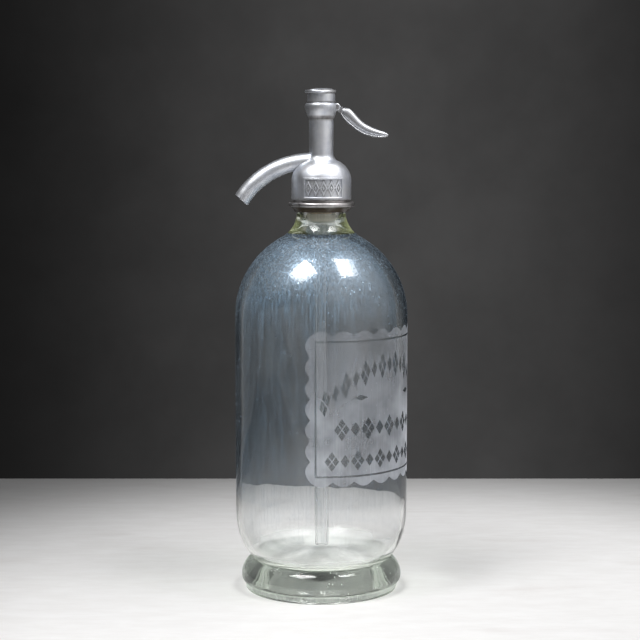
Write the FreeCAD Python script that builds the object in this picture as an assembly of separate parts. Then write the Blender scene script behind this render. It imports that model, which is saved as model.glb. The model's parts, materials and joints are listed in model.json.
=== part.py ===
import FreeCAD, Part
import math
import os
from FreeCAD import Vector

# Soda siphon with a thumb lever: a heavy glass bottle, a pewter head screwed on a split neck collar,
# a curved spout, and a spring-loaded valve that the lever lifts.
# Millimetres. Origin at the centre of the foot, +Z up, spout towards -X, lever towards +X, front at -Y.

# ---------------------------------------------------------------- fits
FIT_GAP = 0.03          # radial gap of parts that are pressed or cemented together
THREAD_GAP = 0.05       # radial gap of screwed parts
RUNNING_GAP = 0.06      # radial gap of the stem and of the lever on its pin
GLASS_GAP = 0.25        # room around the glass, which is never a tight fit
REST_GAP = 0.10         # gap between surfaces that meet as the valve closes
SIDE_GAP = 0.25         # room on each side of the lever between its cheeks and in the yoke
SCREW_END_GAP = 0.3     # room past the end of a screw

# ---------------------------------------------------------------- bottle
BODY_RADIUS = 52.5
WALL_TOP_Z = 168.0      # the straight wall ends here and the shoulder starts
WALL_BOTTOM_Z = 55.0    # the straight wall starts here, above the heel
GLASS_WALL = 4.5
SHOULDER_RADIUS = 54.6
NECK_RADIUS = 14.6
NECK_FILLET = 17.5
NECK_BORE = 9.0
NECK_FILLET_INSIDE = 8.0
GROOVE_DEPTH = 1.4      # groove round the neck that the collar grips
GROOVE_HEIGHT = 4.9
BEAD_RADIUS = 14.8      # bead above the groove
BEAD_HEIGHT = 6.6
LIP_ROUND = 1.2

WAIST_RADIUS = 42.5     # pinch between the body and the foot
WAIST_Z = 19.5
FOOT_RADIUS = 49.0
FOOT_WIDEST_Z = 8.7
FOOT_ROUND = 1.5        # how far the foot's round side stays upright above and below
FOOT_RISE_SHARE = 0.41  # how full the foot is above its widest place
WAIST_LEAD = 2.0
FOOT_SEAM_RADIUS = 47.5
FOOT_SEAM_Z = 4.3
FOOT_SEAM_DEPTH = 0.7
REST_RING_OUTER = 46.3
REST_RING_INNER = 40.5
PUSH_UP = 12.0          # hollow under the foot
PUSH_UP_FLAT_SHARE = 0.55
PUSH_UP_HAUNCH_SHARE = 0.9
PUSH_UP_SIDE_SHARE = 0.6
FLOOR_MOAT_RADIUS = 29.0
FLOOR_MOAT_Z = 18.0
FLOOR_CENTRE_Z = 22.5
FLOOR_MOUND_SHARE = 0.4 # share of the moat's radius over which the floor's mound is flat
HEEL_INSIDE_Z = 52.0
HEEL_CORNER = 5.0
HEEL_RISE_SHARE = 0.45

# ---------------------------------------------------------------- dip tube and what holds it
TUBE_RADIUS = 4.0
TUBE_WALL = 1.3
TUBE_FLOOR_GAP = 3.0
BUSH_RADIUS = 6.5
BUSH_LENGTH = 20.0
BUSH_CHAMFER = 0.8
SKIRT_WALL = 1.6
SKIRT_DEPTH = 8.0
TUBE_TOP_GAP = 0.6

GASKET_THICKNESS = 1.4
PLATE_RADIUS = 16.2
PLATE_THICKNESS = 3.0
WASHER_THICKNESS = 0.8
SEAT_BORE = 2.8
SEAT_WIDTH = 0.9
SEAT_RISE = 1.2

# ---------------------------------------------------------------- neck collar
COLLAR_THREAD_RADIUS = 16.4
COLLAR_THREAD_HEIGHT = 6.0
COLLAR_FOOT_RADIUS = 16.3
COLLAR_TAPER_HEIGHT = 2.9
COLLAR_FLARE = 0.4
COLLAR_FLARE_DROP = 1.0
COLLAR_RIM_RADIUS = 20.0
COLLAR_RIM_HEIGHT = 2.8
COLLAR_RIM_ROUND = 0.9
COLLAR_SPLIT = 0.4
COLLAR_SPLIT_AZIMUTH = -41.0
BELL_SHADOW_GAP = 1.2

# ---------------------------------------------------------------- head casting
BELL_RADIUS = 18.1
BELL_WALL_HEIGHT = 11.5
BELL_EDGE = 0.5
DOME_RADIUS = 13.0
COLUMN_RADIUS = 7.3
COLUMN_FILLET = 4.5
COLUMN_TOP_Z = 287.3
BULB_FOOT_RADIUS = 7.7
BULB_RADIUS = 9.9
BULB_WIDEST_RISE = 7.6
BULB_SHOULDER_RADIUS = 8.6
BULB_HEIGHT = 9.5
BULB_FLARE = 1.1
BULB_FLARE_RISE = 3.2
BULB_SIDE = 2.6
BULB_EDGE = 0.3
CAP_NECK_RADIUS = 6.95
CAP_NECK_HEIGHT = 4.7

CHAMBER_RADIUS = 8.5
CHAMBER_HEIGHT = 4.4
CHAMBER_CONE = 3.6
PASSAGE_RADIUS = 4.3
PORT_TOP_CLEAR = 0.3    # from the spout's port up to the gland's web
GLAND_WEB = 1.2
GLAND_WEB_HOLE_GAP = 0.35
GLAND_BORE = 4.25
SPRING_BORE = 4.6
BULB_BORE = 5.4

PANEL_CENTRE_AZIMUTH = 4.0
PANEL_HALF_ANGLE = 40.0
PANEL_BOTTOM_RISE = 1.2
PANEL_HEIGHT = 12.6
PANEL_RELIEF = 0.45
PANEL_ROOT = 0.5        # how deep the panel is rooted in the bell
PANEL_BORDER = 1.1
LOZENGE_COUNT = 5
LOZENGE_WIDTH = 3.4
LOZENGE_HEIGHT = 6.4

# ---------------------------------------------------------------- spout
SPOUT_RADIUS = 5.0
SPOUT_BORE = 3.5
SPOUT_BEND = 50.0
SPOUT_SWEEP = 57.0
SPOUT_START_X = -6.0    # the bend starts here
SPOUT_Z = 261.8         # height of the spout's straight end
SPOUT_LAND = 0.6        # metal left between the passage and the spout's socket

# ---------------------------------------------------------------- valve stem
STEM_RADIUS = 1.6
DISC_RADIUS = 4.3
DISC_THICKNESS = 2.0
HOLDER_WALL = 0.65
HOLDER_LIP = 1.1
HOLDER_PLATE = 1.6
HOLDER_BOSS_RADIUS = 3.0
HOLDER_BOSS_HEIGHT = 2.0
SCREW_RADIUS = 0.8
SCREW_HEAD_RADIUS = 1.9
SCREW_HEAD_HEIGHT = 0.9
SCREW_REACH = 2.6
SCREW_SLOT_WIDTH = 0.6
SCREW_SLOT_DEPTH = 0.4
PACKING_RINGS = 3
PACKING_HEIGHT = 1.2
GLAND_NUT_HEIGHT = 3.4
NUT_SLOT_WIDTH = 1.0
NUT_SLOT_DEPTH = 1.0
SPRING_SEAT_RADIUS = 3.9
SPRING_SEAT_HEIGHT = 1.3
SPRING_SEAT_CLEAR = 1.2
GUIDE_DEPTH = 3.5
GUIDE_FLANGE = 0.8
SPRING_WIRE = 0.8
SPRING_MEAN_RADIUS = 3.0
SPRING_TURNS = 4.5
SPRING_STEPS_PER_TURN = 16
SPRING_WIRE_SIDES = 10

YOKE_RADIUS = 3.4
YOKE_FLOOR = 1.9
YOKE_CLEAR = 0.5        # gap under the yoke while the valve is shut
YOKE_ROOF = 2.2
WINDOW_HEIGHT = 3.2

# ---------------------------------------------------------------- lever
PIVOT_X = 9.2
LEVER_WIDTH = 3.3
EYE_RADIUS = 2.1
SHANK_REACH_SHARE = 0.3 # how far the flat shank runs into the handle, towards its second section
SHANK_INSET = 0.4
PIN_RADIUS = 1.0
PIN_HEAD_RADIUS = 1.5
PIN_HEAD_HEIGHT = 0.6
CHEEK_THICKNESS = 1.8
CHEEK_RADIUS = 2.2
FINGER_HEIGHT = 2.2
FINGER_FLAT = 0.8       # level top of the finger past the yoke, before it rises to the eye
PIVOT_ABOVE_FINGER = 1.8
SLOT_BELOW_FINGER = 0.9
SLOT_ROOF = 0.9         # metal left over the slot, under the cap's neck
SLOT_STEP = 0.3         # the slot is open above from this far outside the cap's neck
LEVER_TRAVEL = 14.0     # degrees, thumb end down
THUMB_PLATE = 1.5       # thickness of the leaf under the rib
THUMB_PLATE_SHARE = 0.8 # most of a section's depth that the leaf may take
LEAF_SUNK_SHARE = 0.4   # share of the leaf's thickness that the rib leaves clear below it
SECTION_POINTS = 12

# Sections of the lever's handle, from the pivot to its tip, measured from the pivot:
# under side (x, z), top side (x, z), width of the leaf, width of the rib.
HANDLE_SECTIONS = [
    ((2.0, -3.8), (3.7, -0.3), 3.2, 3.2),
    ((3.0, -5.8), (5.6, -0.2), 5.4, 4.6),
    ((4.6, -8.0), (8.5, -0.7), 7.2, 5.6),
    ((7.4, -10.4), (11.6, -4.2), 9.0, 6.0),
    ((11.5, -14.0), (15.6, -9.0), 10.6, 6.0),
    ((16.8, -16.9), (19.9, -11.3), 12.0, 5.8),
    ((22.1, -18.2), (24.1, -13.3), 12.6, 5.2),
    ((27.5, -18.6), (28.6, -14.5), 11.0, 4.2),
    ((30.9, -17.9), (31.5, -16.2), 5.0, 2.2),
]

# ---------------------------------------------------------------- cap
CAP_RADIUS = 8.3
CAP_RIM_RADIUS = 9.3
CAP_RIM_HEIGHT = 1.7
CAP_RIM_BULGE = 0.1
CAP_RIM_ROUND = 0.4
CAP_FLARE = 0.6
CAP_CROWN = 0.9
CAP_CROWN_FULL_SHARE = 0.75
CAP_CROWN_FLAT_SHARE = 0.3
CAP_SKIRT_GAP = 0.15
CAP_WASHER = 0.8
CAP_ROOF = 1.5          # metal over the washer, below the rim's top

# ---------------------------------------------------------------- heights that follow from the above
NECK_STEP_Z = WALL_TOP_Z + math.sqrt(
    (SHOULDER_RADIUS + NECK_FILLET) ** 2
    - (NECK_RADIUS + NECK_FILLET - (BODY_RADIUS - SHOULDER_RADIUS)) ** 2)
BEAD_BOTTOM_Z = NECK_STEP_Z + GROOVE_HEIGHT
LIP_Z = BEAD_BOTTOM_Z + BEAD_HEIGHT
PLATE_Z = LIP_Z + GASKET_THICKNESS
PLATE_TOP_Z = PLATE_Z + PLATE_THICKNESS
BELL_SHOULDER_Z = PLATE_TOP_Z + WASHER_THICKNESS
SEAT_Z = PLATE_TOP_Z + SEAT_RISE
COLLAR_Z = NECK_STEP_Z + FIT_GAP
COLLAR_RIM_Z = COLLAR_Z + COLLAR_TAPER_HEIGHT
COLLAR_TOP_Z = COLLAR_RIM_Z + COLLAR_RIM_HEIGHT
BELL_Z = COLLAR_TOP_Z + BELL_SHADOW_GAP
DOME_Z = BELL_Z + BELL_WALL_HEIGHT
BELL_BORE = COLLAR_THREAD_RADIUS + THREAD_GAP
CONE_Z = BELL_SHOULDER_Z + CHAMBER_HEIGHT
PASSAGE_Z = CONE_Z + CHAMBER_CONE
GLAND_WEB_Z = SPOUT_Z + SPOUT_BORE + PORT_TOP_CLEAR
PACKING_Z = GLAND_WEB_Z + GLAND_WEB
GLAND_NUT_Z = PACKING_Z + PACKING_RINGS * PACKING_HEIGHT
GLAND_TOP_Z = GLAND_NUT_Z + GLAND_NUT_HEIGHT
SPRING_SEAT_Z = GLAND_TOP_Z + SPRING_SEAT_CLEAR
SPRING_Z = SPRING_SEAT_Z + SPRING_SEAT_HEIGHT
GUIDE_Z = COLUMN_TOP_Z - GUIDE_DEPTH
GUIDE_TOP_Z = COLUMN_TOP_Z + GUIDE_FLANGE
YOKE_Z = GUIDE_TOP_Z + YOKE_CLEAR
WINDOW_Z = YOKE_Z + YOKE_FLOOR
WINDOW_TOP_Z = WINDOW_Z + WINDOW_HEIGHT
YOKE_TOP_Z = WINDOW_TOP_Z + YOKE_ROOF
FINGER_Z = WINDOW_TOP_Z - REST_GAP - FINGER_HEIGHT / 2
PIVOT_Z = FINGER_Z + PIVOT_ABOVE_FINGER
BULB_TOP_Z = COLUMN_TOP_Z + BULB_HEIGHT
CAP_NECK_TOP_Z = BULB_TOP_Z + CAP_NECK_HEIGHT
CAP_CEILING_Z = CAP_NECK_TOP_Z + CAP_WASHER
CAP_RIM_Z = CAP_CEILING_Z + CAP_ROOF - CAP_CROWN
DISC_Z = SEAT_Z + REST_GAP
HOLDER_Z = DISC_Z + DISC_THICKNESS
LEVER_SLOT_Y = LEVER_WIDTH / 2 + SIDE_GAP
CHEEK_OUTER_Y = LEVER_SLOT_Y + CHEEK_THICKNESS
GROOVE_RADIUS = NECK_RADIUS - GROOVE_DEPTH
COLLAR_BORE = GROOVE_RADIUS + FIT_GAP
FLOOR_TUBE_Z = FLOOR_CENTRE_Z + TUBE_FLOOR_GAP

UP = Vector(0, 0, 1)
ORIGIN = Vector(0, 0, 0)
FAR = 400.0             # past the end of everything, for cutting blocks
CUT_MARGIN = 1.0        # how far a cutting block sticks out of what it cuts
NEAR = 0.01             # lengths closer than this are equal


# ---------------------------------------------------------------- drawing helpers
def at(radius, z):
    return Vector(radius, 0, z)


def line_to(radius, z):
    def step(start):
        end = at(radius, z)
        return Part.LineSegment(start, end).toShape(), end
    return step


def arc_to(centre, end):
    """The short arc about a centre, from where the outline stands to an end point."""
    def step(start):
        middle, stop = at(*centre), at(*end)
        halfway = ((start - middle).normalize() + (stop - middle).normalize()).normalize()
        through = middle + halfway * (start - middle).Length
        return Part.Arc(start, through, stop).toShape(), stop
    return step


def bend_to(*poles):
    """A Bezier curve; the last pole is its end."""
    def step(start):
        curve = Part.BezierCurve()
        curve.setPoles([start] + [at(*pole) for pole in poles])
        return curve.toShape(), at(*poles[-1])
    return step


def turned(start, *steps):
    """Solid of revolution about the Z axis from a closed outline in the XZ plane."""
    here = at(*start)
    edges = []
    for step in list(steps) + [line_to(*start)]:
        edge, here = step(here)
        edges.append(edge)
    return Part.Face(Part.Wire(edges)).revolve(ORIGIN, UP, 360)


def rod(radius, z_low, z_high):
    return Part.makeCylinder(radius, z_high - z_low, Vector(0, 0, z_low))


def sleeve(radius_in, radius_out, z_low, z_high):
    return rod(radius_out, z_low, z_high).cut(rod(radius_in, z_low, z_high))


def block(x_low, x_high, y_low, y_high, z_low, z_high):
    size = (x_high - x_low, y_high - y_low, z_high - z_low)
    return Part.makeBox(*size, Vector(x_low, y_low, z_low))


def cross_rod(radius, x, z, y_low, y_high):
    return Part.makeCylinder(radius, y_high - y_low, Vector(x, y_low, z), Vector(0, 1, 0))


def turned_about_z(shape, azimuth):
    copy = shape.copy()
    copy.rotate(ORIGIN, UP, azimuth)
    return copy


def tangent_point(centre_from, radius_from, centre_to):
    """Where the circle about centre_from is met on the way to centre_to."""
    run = at(*centre_to) - at(*centre_from)
    point = at(*centre_from) + run.normalize() * radius_from
    return point.x, point.z


def save(name, shape):
    if shape.ShapeType == "Compound" and len(shape.Solids) == 1:
        shape = shape.Solids[0]
    shape.exportStep(f"parts/{name}.step")
    print(f"{name:20s} solids {len(shape.Solids)} valid {shape.isValid()} volume {shape.Volume:.1f}")


# ---------------------------------------------------------------- bottle
def shoulder_arcs(radius, fillet, neck):
    """Centres of the shoulder and of the neck fillet, and the point where the two arcs meet."""
    shoulder_centre = (BODY_RADIUS - SHOULDER_RADIUS, WALL_TOP_Z)
    reach = neck + fillet - shoulder_centre[0]
    rise = math.sqrt((radius + fillet) ** 2 - reach ** 2)
    fillet_centre = (neck + fillet, WALL_TOP_Z + rise)
    return shoulder_centre, fillet_centre, tangent_point(shoulder_centre, radius, fillet_centre)


def make_bottle():
    shoulder, fillet, meet = shoulder_arcs(SHOULDER_RADIUS, NECK_FILLET, NECK_RADIUS)
    heel = (WALL_BOTTOM_Z - WAIST_Z) / 3
    foot_rise = WAIST_Z - FOOT_WIDEST_Z
    outside = turned(
        (0, PUSH_UP),
        bend_to((REST_RING_INNER * PUSH_UP_FLAT_SHARE, PUSH_UP),
                (REST_RING_INNER * PUSH_UP_HAUNCH_SHARE, PUSH_UP * PUSH_UP_SIDE_SHARE),
                (REST_RING_INNER, 0)),
        line_to(REST_RING_OUTER, 0),
        line_to(FOOT_SEAM_RADIUS - FOOT_SEAM_DEPTH, FOOT_SEAM_Z - FOOT_SEAM_DEPTH),
        line_to(FOOT_SEAM_RADIUS, FOOT_SEAM_Z),
        bend_to((FOOT_RADIUS, FOOT_SEAM_Z + FOOT_ROUND), (FOOT_RADIUS, FOOT_WIDEST_Z - FOOT_ROUND),
                (FOOT_RADIUS, FOOT_WIDEST_Z)),
        bend_to((FOOT_RADIUS, FOOT_WIDEST_Z + foot_rise * FOOT_RISE_SHARE),
                ((FOOT_RADIUS + WAIST_RADIUS) / 2, WAIST_Z - WAIST_LEAD), (WAIST_RADIUS, WAIST_Z)),
        bend_to((BODY_RADIUS, WAIST_Z + heel), (BODY_RADIUS, WAIST_Z + 2 * heel),
                (BODY_RADIUS, WALL_BOTTOM_Z)),
        line_to(BODY_RADIUS, WALL_TOP_Z),
        arc_to(shoulder, meet),
        arc_to(fillet, (NECK_RADIUS, NECK_STEP_Z)),
        line_to(GROOVE_RADIUS, NECK_STEP_Z),
        line_to(GROOVE_RADIUS, BEAD_BOTTOM_Z),
        line_to(BEAD_RADIUS, BEAD_BOTTOM_Z),
        line_to(BEAD_RADIUS, LIP_Z - LIP_ROUND),
        arc_to((BEAD_RADIUS - LIP_ROUND, LIP_Z - LIP_ROUND), (BEAD_RADIUS - LIP_ROUND, LIP_Z)),
        line_to(0, LIP_Z))
    inner = BODY_RADIUS - GLASS_WALL
    shoulder, fillet, meet = shoulder_arcs(
        SHOULDER_RADIUS - GLASS_WALL, NECK_FILLET_INSIDE, NECK_BORE)
    rise = HEEL_INSIDE_Z - FLOOR_MOAT_Z
    inside = turned(
        (0, FLOOR_CENTRE_Z),
        bend_to((FLOOR_MOAT_RADIUS * FLOOR_MOUND_SHARE, FLOOR_CENTRE_Z),
                (FLOOR_MOAT_RADIUS * (1 - FLOOR_MOUND_SHARE), FLOOR_MOAT_Z),
                (FLOOR_MOAT_RADIUS, FLOOR_MOAT_Z)),
        bend_to((inner - HEEL_CORNER, FLOOR_MOAT_Z), (inner, FLOOR_MOAT_Z + rise * HEEL_RISE_SHARE),
                (inner, HEEL_INSIDE_Z)),
        line_to(inner, WALL_TOP_Z),
        arc_to(shoulder, meet),
        arc_to(fillet, (NECK_BORE, fillet[1])),
        line_to(NECK_BORE, LIP_Z),
        line_to(0, LIP_Z))
    return outside.cut(inside)


def make_dip_tube():
    return sleeve(TUBE_RADIUS - TUBE_WALL, TUBE_RADIUS, FLOOR_TUBE_Z, PLATE_Z - TUBE_TOP_GAP)


def make_tube_bush():
    bush = sleeve(TUBE_RADIUS + FIT_GAP, BUSH_RADIUS, PLATE_Z - BUSH_LENGTH, PLATE_Z)
    low_edge = [edge for edge in bush.Edges if edge.BoundBox.ZMax < bush.BoundBox.ZMin + NEAR
                and edge.BoundBox.XMax > BUSH_RADIUS - NEAR]
    return bush.makeChamfer(BUSH_CHAMFER, low_edge)


# ---------------------------------------------------------------- neck joint
def make_collar_halves():
    lip = BEAD_BOTTOM_Z - FIT_GAP
    tube_bore = BEAD_RADIUS + GLASS_GAP
    rim = COLLAR_RIM_RADIUS
    soft = COLLAR_RIM_ROUND
    ring = turned(
        (COLLAR_BORE, COLLAR_Z),
        line_to(COLLAR_FOOT_RADIUS, COLLAR_Z),
        bend_to((COLLAR_FOOT_RADIUS + COLLAR_FLARE, COLLAR_RIM_Z - COLLAR_FLARE_DROP),
                (rim - soft, COLLAR_RIM_Z)),
        arc_to((rim - soft, COLLAR_RIM_Z + soft), (rim, COLLAR_RIM_Z + soft)),
        line_to(rim, COLLAR_TOP_Z - soft),
        arc_to((rim - soft, COLLAR_TOP_Z - soft), (rim - soft, COLLAR_TOP_Z)),
        line_to(COLLAR_THREAD_RADIUS, COLLAR_TOP_Z),
        line_to(COLLAR_THREAD_RADIUS, COLLAR_TOP_Z + COLLAR_THREAD_HEIGHT),
        line_to(tube_bore, COLLAR_TOP_Z + COLLAR_THREAD_HEIGHT),
        line_to(tube_bore, lip),
        line_to(COLLAR_BORE, lip))
    half_space = block(-FAR, FAR, COLLAR_SPLIT / 2, FAR, 0, FAR)
    # A half space on the +Y side, turned so that its face passes through the split's azimuth.
    turn = COLLAR_SPLIT_AZIMUTH - 90
    right = ring.common(turned_about_z(half_space, turn))
    left = ring.common(turned_about_z(half_space, turn + 180))
    return left, right


def make_neck_gasket():
    return sleeve(BUSH_RADIUS + FIT_GAP + SKIRT_WALL + GLASS_GAP, BEAD_RADIUS - LIP_ROUND, LIP_Z, PLATE_Z)


def make_seat_plate():
    socket = BUSH_RADIUS + FIT_GAP
    plate = rod(PLATE_RADIUS, PLATE_Z, PLATE_TOP_Z)
    plate = plate.fuse(rod(SEAT_BORE + SEAT_WIDTH, PLATE_TOP_Z, SEAT_Z))
    plate = plate.fuse(sleeve(socket, socket + SKIRT_WALL, PLATE_Z - SKIRT_DEPTH, PLATE_Z))
    return plate.cut(rod(SEAT_BORE, PLATE_Z, SEAT_Z)).removeSplitter()


def make_chamber_washer():
    return sleeve(CHAMBER_RADIUS, PLATE_RADIUS, PLATE_TOP_Z, BELL_SHOULDER_Z)


# ---------------------------------------------------------------- head casting
def spout_path(radius, extra=0.0):
    """The spout's solid of one radius: a straight start, then the bend."""
    start = -(PASSAGE_RADIUS + SPOUT_LAND) + extra
    disc = Part.Face(Part.Wire(Part.Circle(
        Vector(SPOUT_START_X, 0, SPOUT_Z), Vector(-1, 0, 0), radius).toShape()))
    bend = disc.revolve(
        Vector(SPOUT_START_X, 0, SPOUT_Z - SPOUT_BEND), Vector(0, -1, 0), SPOUT_SWEEP)
    straight = Part.makeCylinder(
        radius, start - SPOUT_START_X, Vector(SPOUT_START_X, 0, SPOUT_Z), Vector(1, 0, 0))
    return bend.fuse(straight).removeSplitter()


def casting_outside():
    dome = (BELL_RADIUS - DOME_RADIUS, DOME_Z)
    reach = COLUMN_RADIUS + COLUMN_FILLET - dome[0]
    rise = math.sqrt((DOME_RADIUS + COLUMN_FILLET) ** 2 - reach ** 2)
    fillet = (COLUMN_RADIUS + COLUMN_FILLET, DOME_Z + rise)
    widest = COLUMN_TOP_Z + BULB_WIDEST_RISE
    return turned(
        (0, BELL_Z),
        line_to(BELL_RADIUS - BELL_EDGE, BELL_Z),
        arc_to((BELL_RADIUS - BELL_EDGE, BELL_Z + BELL_EDGE), (BELL_RADIUS, BELL_Z + BELL_EDGE)),
        line_to(BELL_RADIUS, DOME_Z),
        arc_to(dome, tangent_point(dome, DOME_RADIUS, fillet)),
        arc_to(fillet, (COLUMN_RADIUS, fillet[1])),
        line_to(COLUMN_RADIUS, COLUMN_TOP_Z),
        line_to(BULB_FOOT_RADIUS, COLUMN_TOP_Z),
        bend_to((BULB_FOOT_RADIUS + BULB_FLARE, COLUMN_TOP_Z + BULB_FLARE_RISE),
                (BULB_RADIUS, widest - BULB_SIDE), (BULB_RADIUS, widest)),
        bend_to((BULB_RADIUS, BULB_TOP_Z - BULB_EDGE), (BULB_SHOULDER_RADIUS + BULB_EDGE, BULB_TOP_Z),
                (BULB_SHOULDER_RADIUS, BULB_TOP_Z)),
        line_to(CAP_NECK_RADIUS, BULB_TOP_Z),
        line_to(CAP_NECK_RADIUS, CAP_NECK_TOP_Z),
        line_to(0, CAP_NECK_TOP_Z))


def casting_inside():
    return turned(
        (0, BELL_Z),
        line_to(BELL_BORE, BELL_Z),
        line_to(BELL_BORE, BELL_SHOULDER_Z),
        line_to(CHAMBER_RADIUS, BELL_SHOULDER_Z),
        line_to(CHAMBER_RADIUS, CONE_Z),
        line_to(PASSAGE_RADIUS, PASSAGE_Z),
        line_to(PASSAGE_RADIUS, GLAND_WEB_Z),
        line_to(STEM_RADIUS + GLAND_WEB_HOLE_GAP, GLAND_WEB_Z),
        line_to(STEM_RADIUS + GLAND_WEB_HOLE_GAP, PACKING_Z),
        line_to(GLAND_BORE, PACKING_Z),
        line_to(GLAND_BORE, GLAND_TOP_Z),
        line_to(SPRING_BORE, GLAND_TOP_Z),
        line_to(SPRING_BORE, COLUMN_TOP_Z),
        line_to(BULB_BORE, COLUMN_TOP_Z),
        line_to(BULB_BORE, CAP_NECK_TOP_Z),
        line_to(0, CAP_NECK_TOP_Z))


def lozenge(width, height, azimuth, z):
    """A diamond prism that points out of the bell at an azimuth."""
    corners = [(width / 2, 0), (0, height / 2), (-width / 2, 0), (0, -height / 2)]
    points = [Vector(x, 0, z + dz) for x, dz in corners]
    face = Part.Face(Part.makePolygon(points + points[:1]))
    return turned_about_z(face.extrude(Vector(0, -FAR, 0)), azimuth)


def sector(half_angle, z_low, z_high, radius_in, radius_out):
    """A curved plate centred on the panel's azimuth."""
    outline = Part.makePolygon([
        at(radius_in, z_low), at(radius_out, z_low), at(radius_out, z_high), at(radius_in, z_high),
        at(radius_in, z_low)])
    plate = Part.Face(outline).revolve(ORIGIN, UP, 2 * half_angle)
    return turned_about_z(plate, PANEL_CENTRE_AZIMUTH - 90 - half_angle)


def make_front_panel():
    """Raised frame with a row of plain lozenges."""
    root, face = BELL_RADIUS - PANEL_ROOT, BELL_RADIUS + PANEL_RELIEF
    low = BELL_Z + PANEL_BOTTOM_RISE
    high = low + PANEL_HEIGHT
    border_angle = math.degrees(PANEL_BORDER / BELL_RADIUS)
    frame = sector(PANEL_HALF_ANGLE, low, high, root, face)
    frame = frame.cut(sector(PANEL_HALF_ANGLE - border_angle, low + PANEL_BORDER,
                             high - PANEL_BORDER, root - CUT_MARGIN, face + CUT_MARGIN))
    field = sector(PANEL_HALF_ANGLE, low, high, root, face)
    step = 2 * (PANEL_HALF_ANGLE - border_angle) / LOZENGE_COUNT
    pieces = [frame]
    for index in range(LOZENGE_COUNT):
        azimuth = PANEL_CENTRE_AZIMUTH + (index - (LOZENGE_COUNT - 1) / 2) * step
        pieces.append(field.common(
            lozenge(LOZENGE_WIDTH, LOZENGE_HEIGHT, azimuth, (low + high) / 2)))
    return pieces


def make_cheeks():
    """Two ears on the bulb that carry the lever's pin."""
    cheeks = []
    for side in (-1, 1):
        low, high = sorted((side * LEVER_SLOT_Y, side * CHEEK_OUTER_Y))
        ear = cross_rod(CHEEK_RADIUS, PIVOT_X, PIVOT_Z, low, high)
        web = block(BULB_BORE, PIVOT_X, low, high, PIVOT_Z - CHEEK_RADIUS, PIVOT_Z + CHEEK_RADIUS)
        cheeks.append(ear.fuse(web))
    return cheeks


def make_head_casting():
    casting = casting_outside()
    for piece in make_front_panel() + make_cheeks():
        casting = casting.fuse(piece)
    casting = casting.cut(casting_inside())
    slot_floor = FINGER_Z - FINGER_HEIGHT / 2 - SLOT_BELOW_FINGER
    slot_end = PIVOT_X + CHEEK_RADIUS + CUT_MARGIN
    casting = casting.cut(block(0, slot_end, -LEVER_SLOT_Y, LEVER_SLOT_Y,
                                slot_floor, BULB_TOP_Z - SLOT_ROOF))
    casting = casting.cut(block(CAP_NECK_RADIUS + SLOT_STEP, slot_end, -LEVER_SLOT_Y, LEVER_SLOT_Y,
                                slot_floor, BULB_TOP_Z + CUT_MARGIN))
    casting = casting.cut(cross_rod(PIN_RADIUS + FIT_GAP, PIVOT_X, PIVOT_Z, -FAR, FAR))
    for low, high in ((-FAR, -CHEEK_OUTER_Y), (CHEEK_OUTER_Y, FAR)):
        casting = casting.cut(cross_rod(PIN_HEAD_RADIUS + SIDE_GAP, PIVOT_X, PIVOT_Z, low, high))
    casting = casting.cut(spout_path(SPOUT_RADIUS + FIT_GAP))
    port = Part.makeCylinder(SPOUT_BORE, -SPOUT_START_X, Vector(0, 0, SPOUT_Z), Vector(-1, 0, 0))
    return casting.cut(port).removeSplitter()


def make_spout():
    return spout_path(SPOUT_RADIUS).cut(spout_path(SPOUT_BORE, extra=CUT_MARGIN))


# ---------------------------------------------------------------- valve
def make_gland_packing():
    rings = []
    for index in range(PACKING_RINGS):
        low = PACKING_Z + index * PACKING_HEIGHT
        rings.append(sleeve(STEM_RADIUS + RUNNING_GAP, GLAND_BORE - FIT_GAP, low + FIT_GAP / 2,
                            low + PACKING_HEIGHT - FIT_GAP / 2))
    return Part.makeCompound(rings)


def make_gland_nut():
    nut = sleeve(STEM_RADIUS + RUNNING_GAP, GLAND_BORE - THREAD_GAP, GLAND_NUT_Z, GLAND_TOP_Z)
    slot = block(-FAR, FAR, -NUT_SLOT_WIDTH / 2, NUT_SLOT_WIDTH / 2,
                 GLAND_TOP_Z - NUT_SLOT_DEPTH, GLAND_TOP_Z + CUT_MARGIN)
    return nut.cut(slot)


def make_guide_bush():
    hole = STEM_RADIUS + RUNNING_GAP
    bush = sleeve(hole, SPRING_BORE - THREAD_GAP, GUIDE_Z, COLUMN_TOP_Z)
    flange = sleeve(hole, BULB_BORE - THREAD_GAP, COLUMN_TOP_Z, GUIDE_TOP_Z)
    slot = block(-FAR, FAR, -NUT_SLOT_WIDTH / 2, NUT_SLOT_WIDTH / 2,
                 GUIDE_TOP_Z - GUIDE_FLANGE / 2, GUIDE_TOP_Z + CUT_MARGIN)
    return bush.fuse(flange).removeSplitter().cut(slot)


def make_return_spring():
    """Coil drawn through many-sided sections of the wire, one after another along the helix."""
    low = SPRING_Z + FIT_GAP + SPRING_WIRE / 2
    high = GUIDE_Z - FIT_GAP - SPRING_WIRE / 2
    steps = round(SPRING_TURNS * SPRING_STEPS_PER_TURN)
    sections = []
    for index in range(steps + 1):
        angle = 2 * math.pi * SPRING_TURNS * index / steps
        out = Vector(math.cos(angle), math.sin(angle), 0)
        centre = out * SPRING_MEAN_RADIUS + UP * (low + (high - low) * index / steps)
        corners = []
        for side in range(SPRING_WIRE_SIDES):
            turn = 2 * math.pi * side / SPRING_WIRE_SIDES
            reach = SPRING_WIRE / 2
            corners.append(centre + out * (reach * math.cos(turn)) + UP * (reach * math.sin(turn)))
        sections.append(Part.makePolygon(corners + corners[:1]))
    return Part.makeLoft(sections, True, True)


def make_valve_stem():
    stem = rod(STEM_RADIUS, HOLDER_Z, WINDOW_Z)
    return stem.cut(rod(SCREW_RADIUS + FIT_GAP, HOLDER_Z, HOLDER_Z + SCREW_REACH + SCREW_END_GAP))


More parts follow.
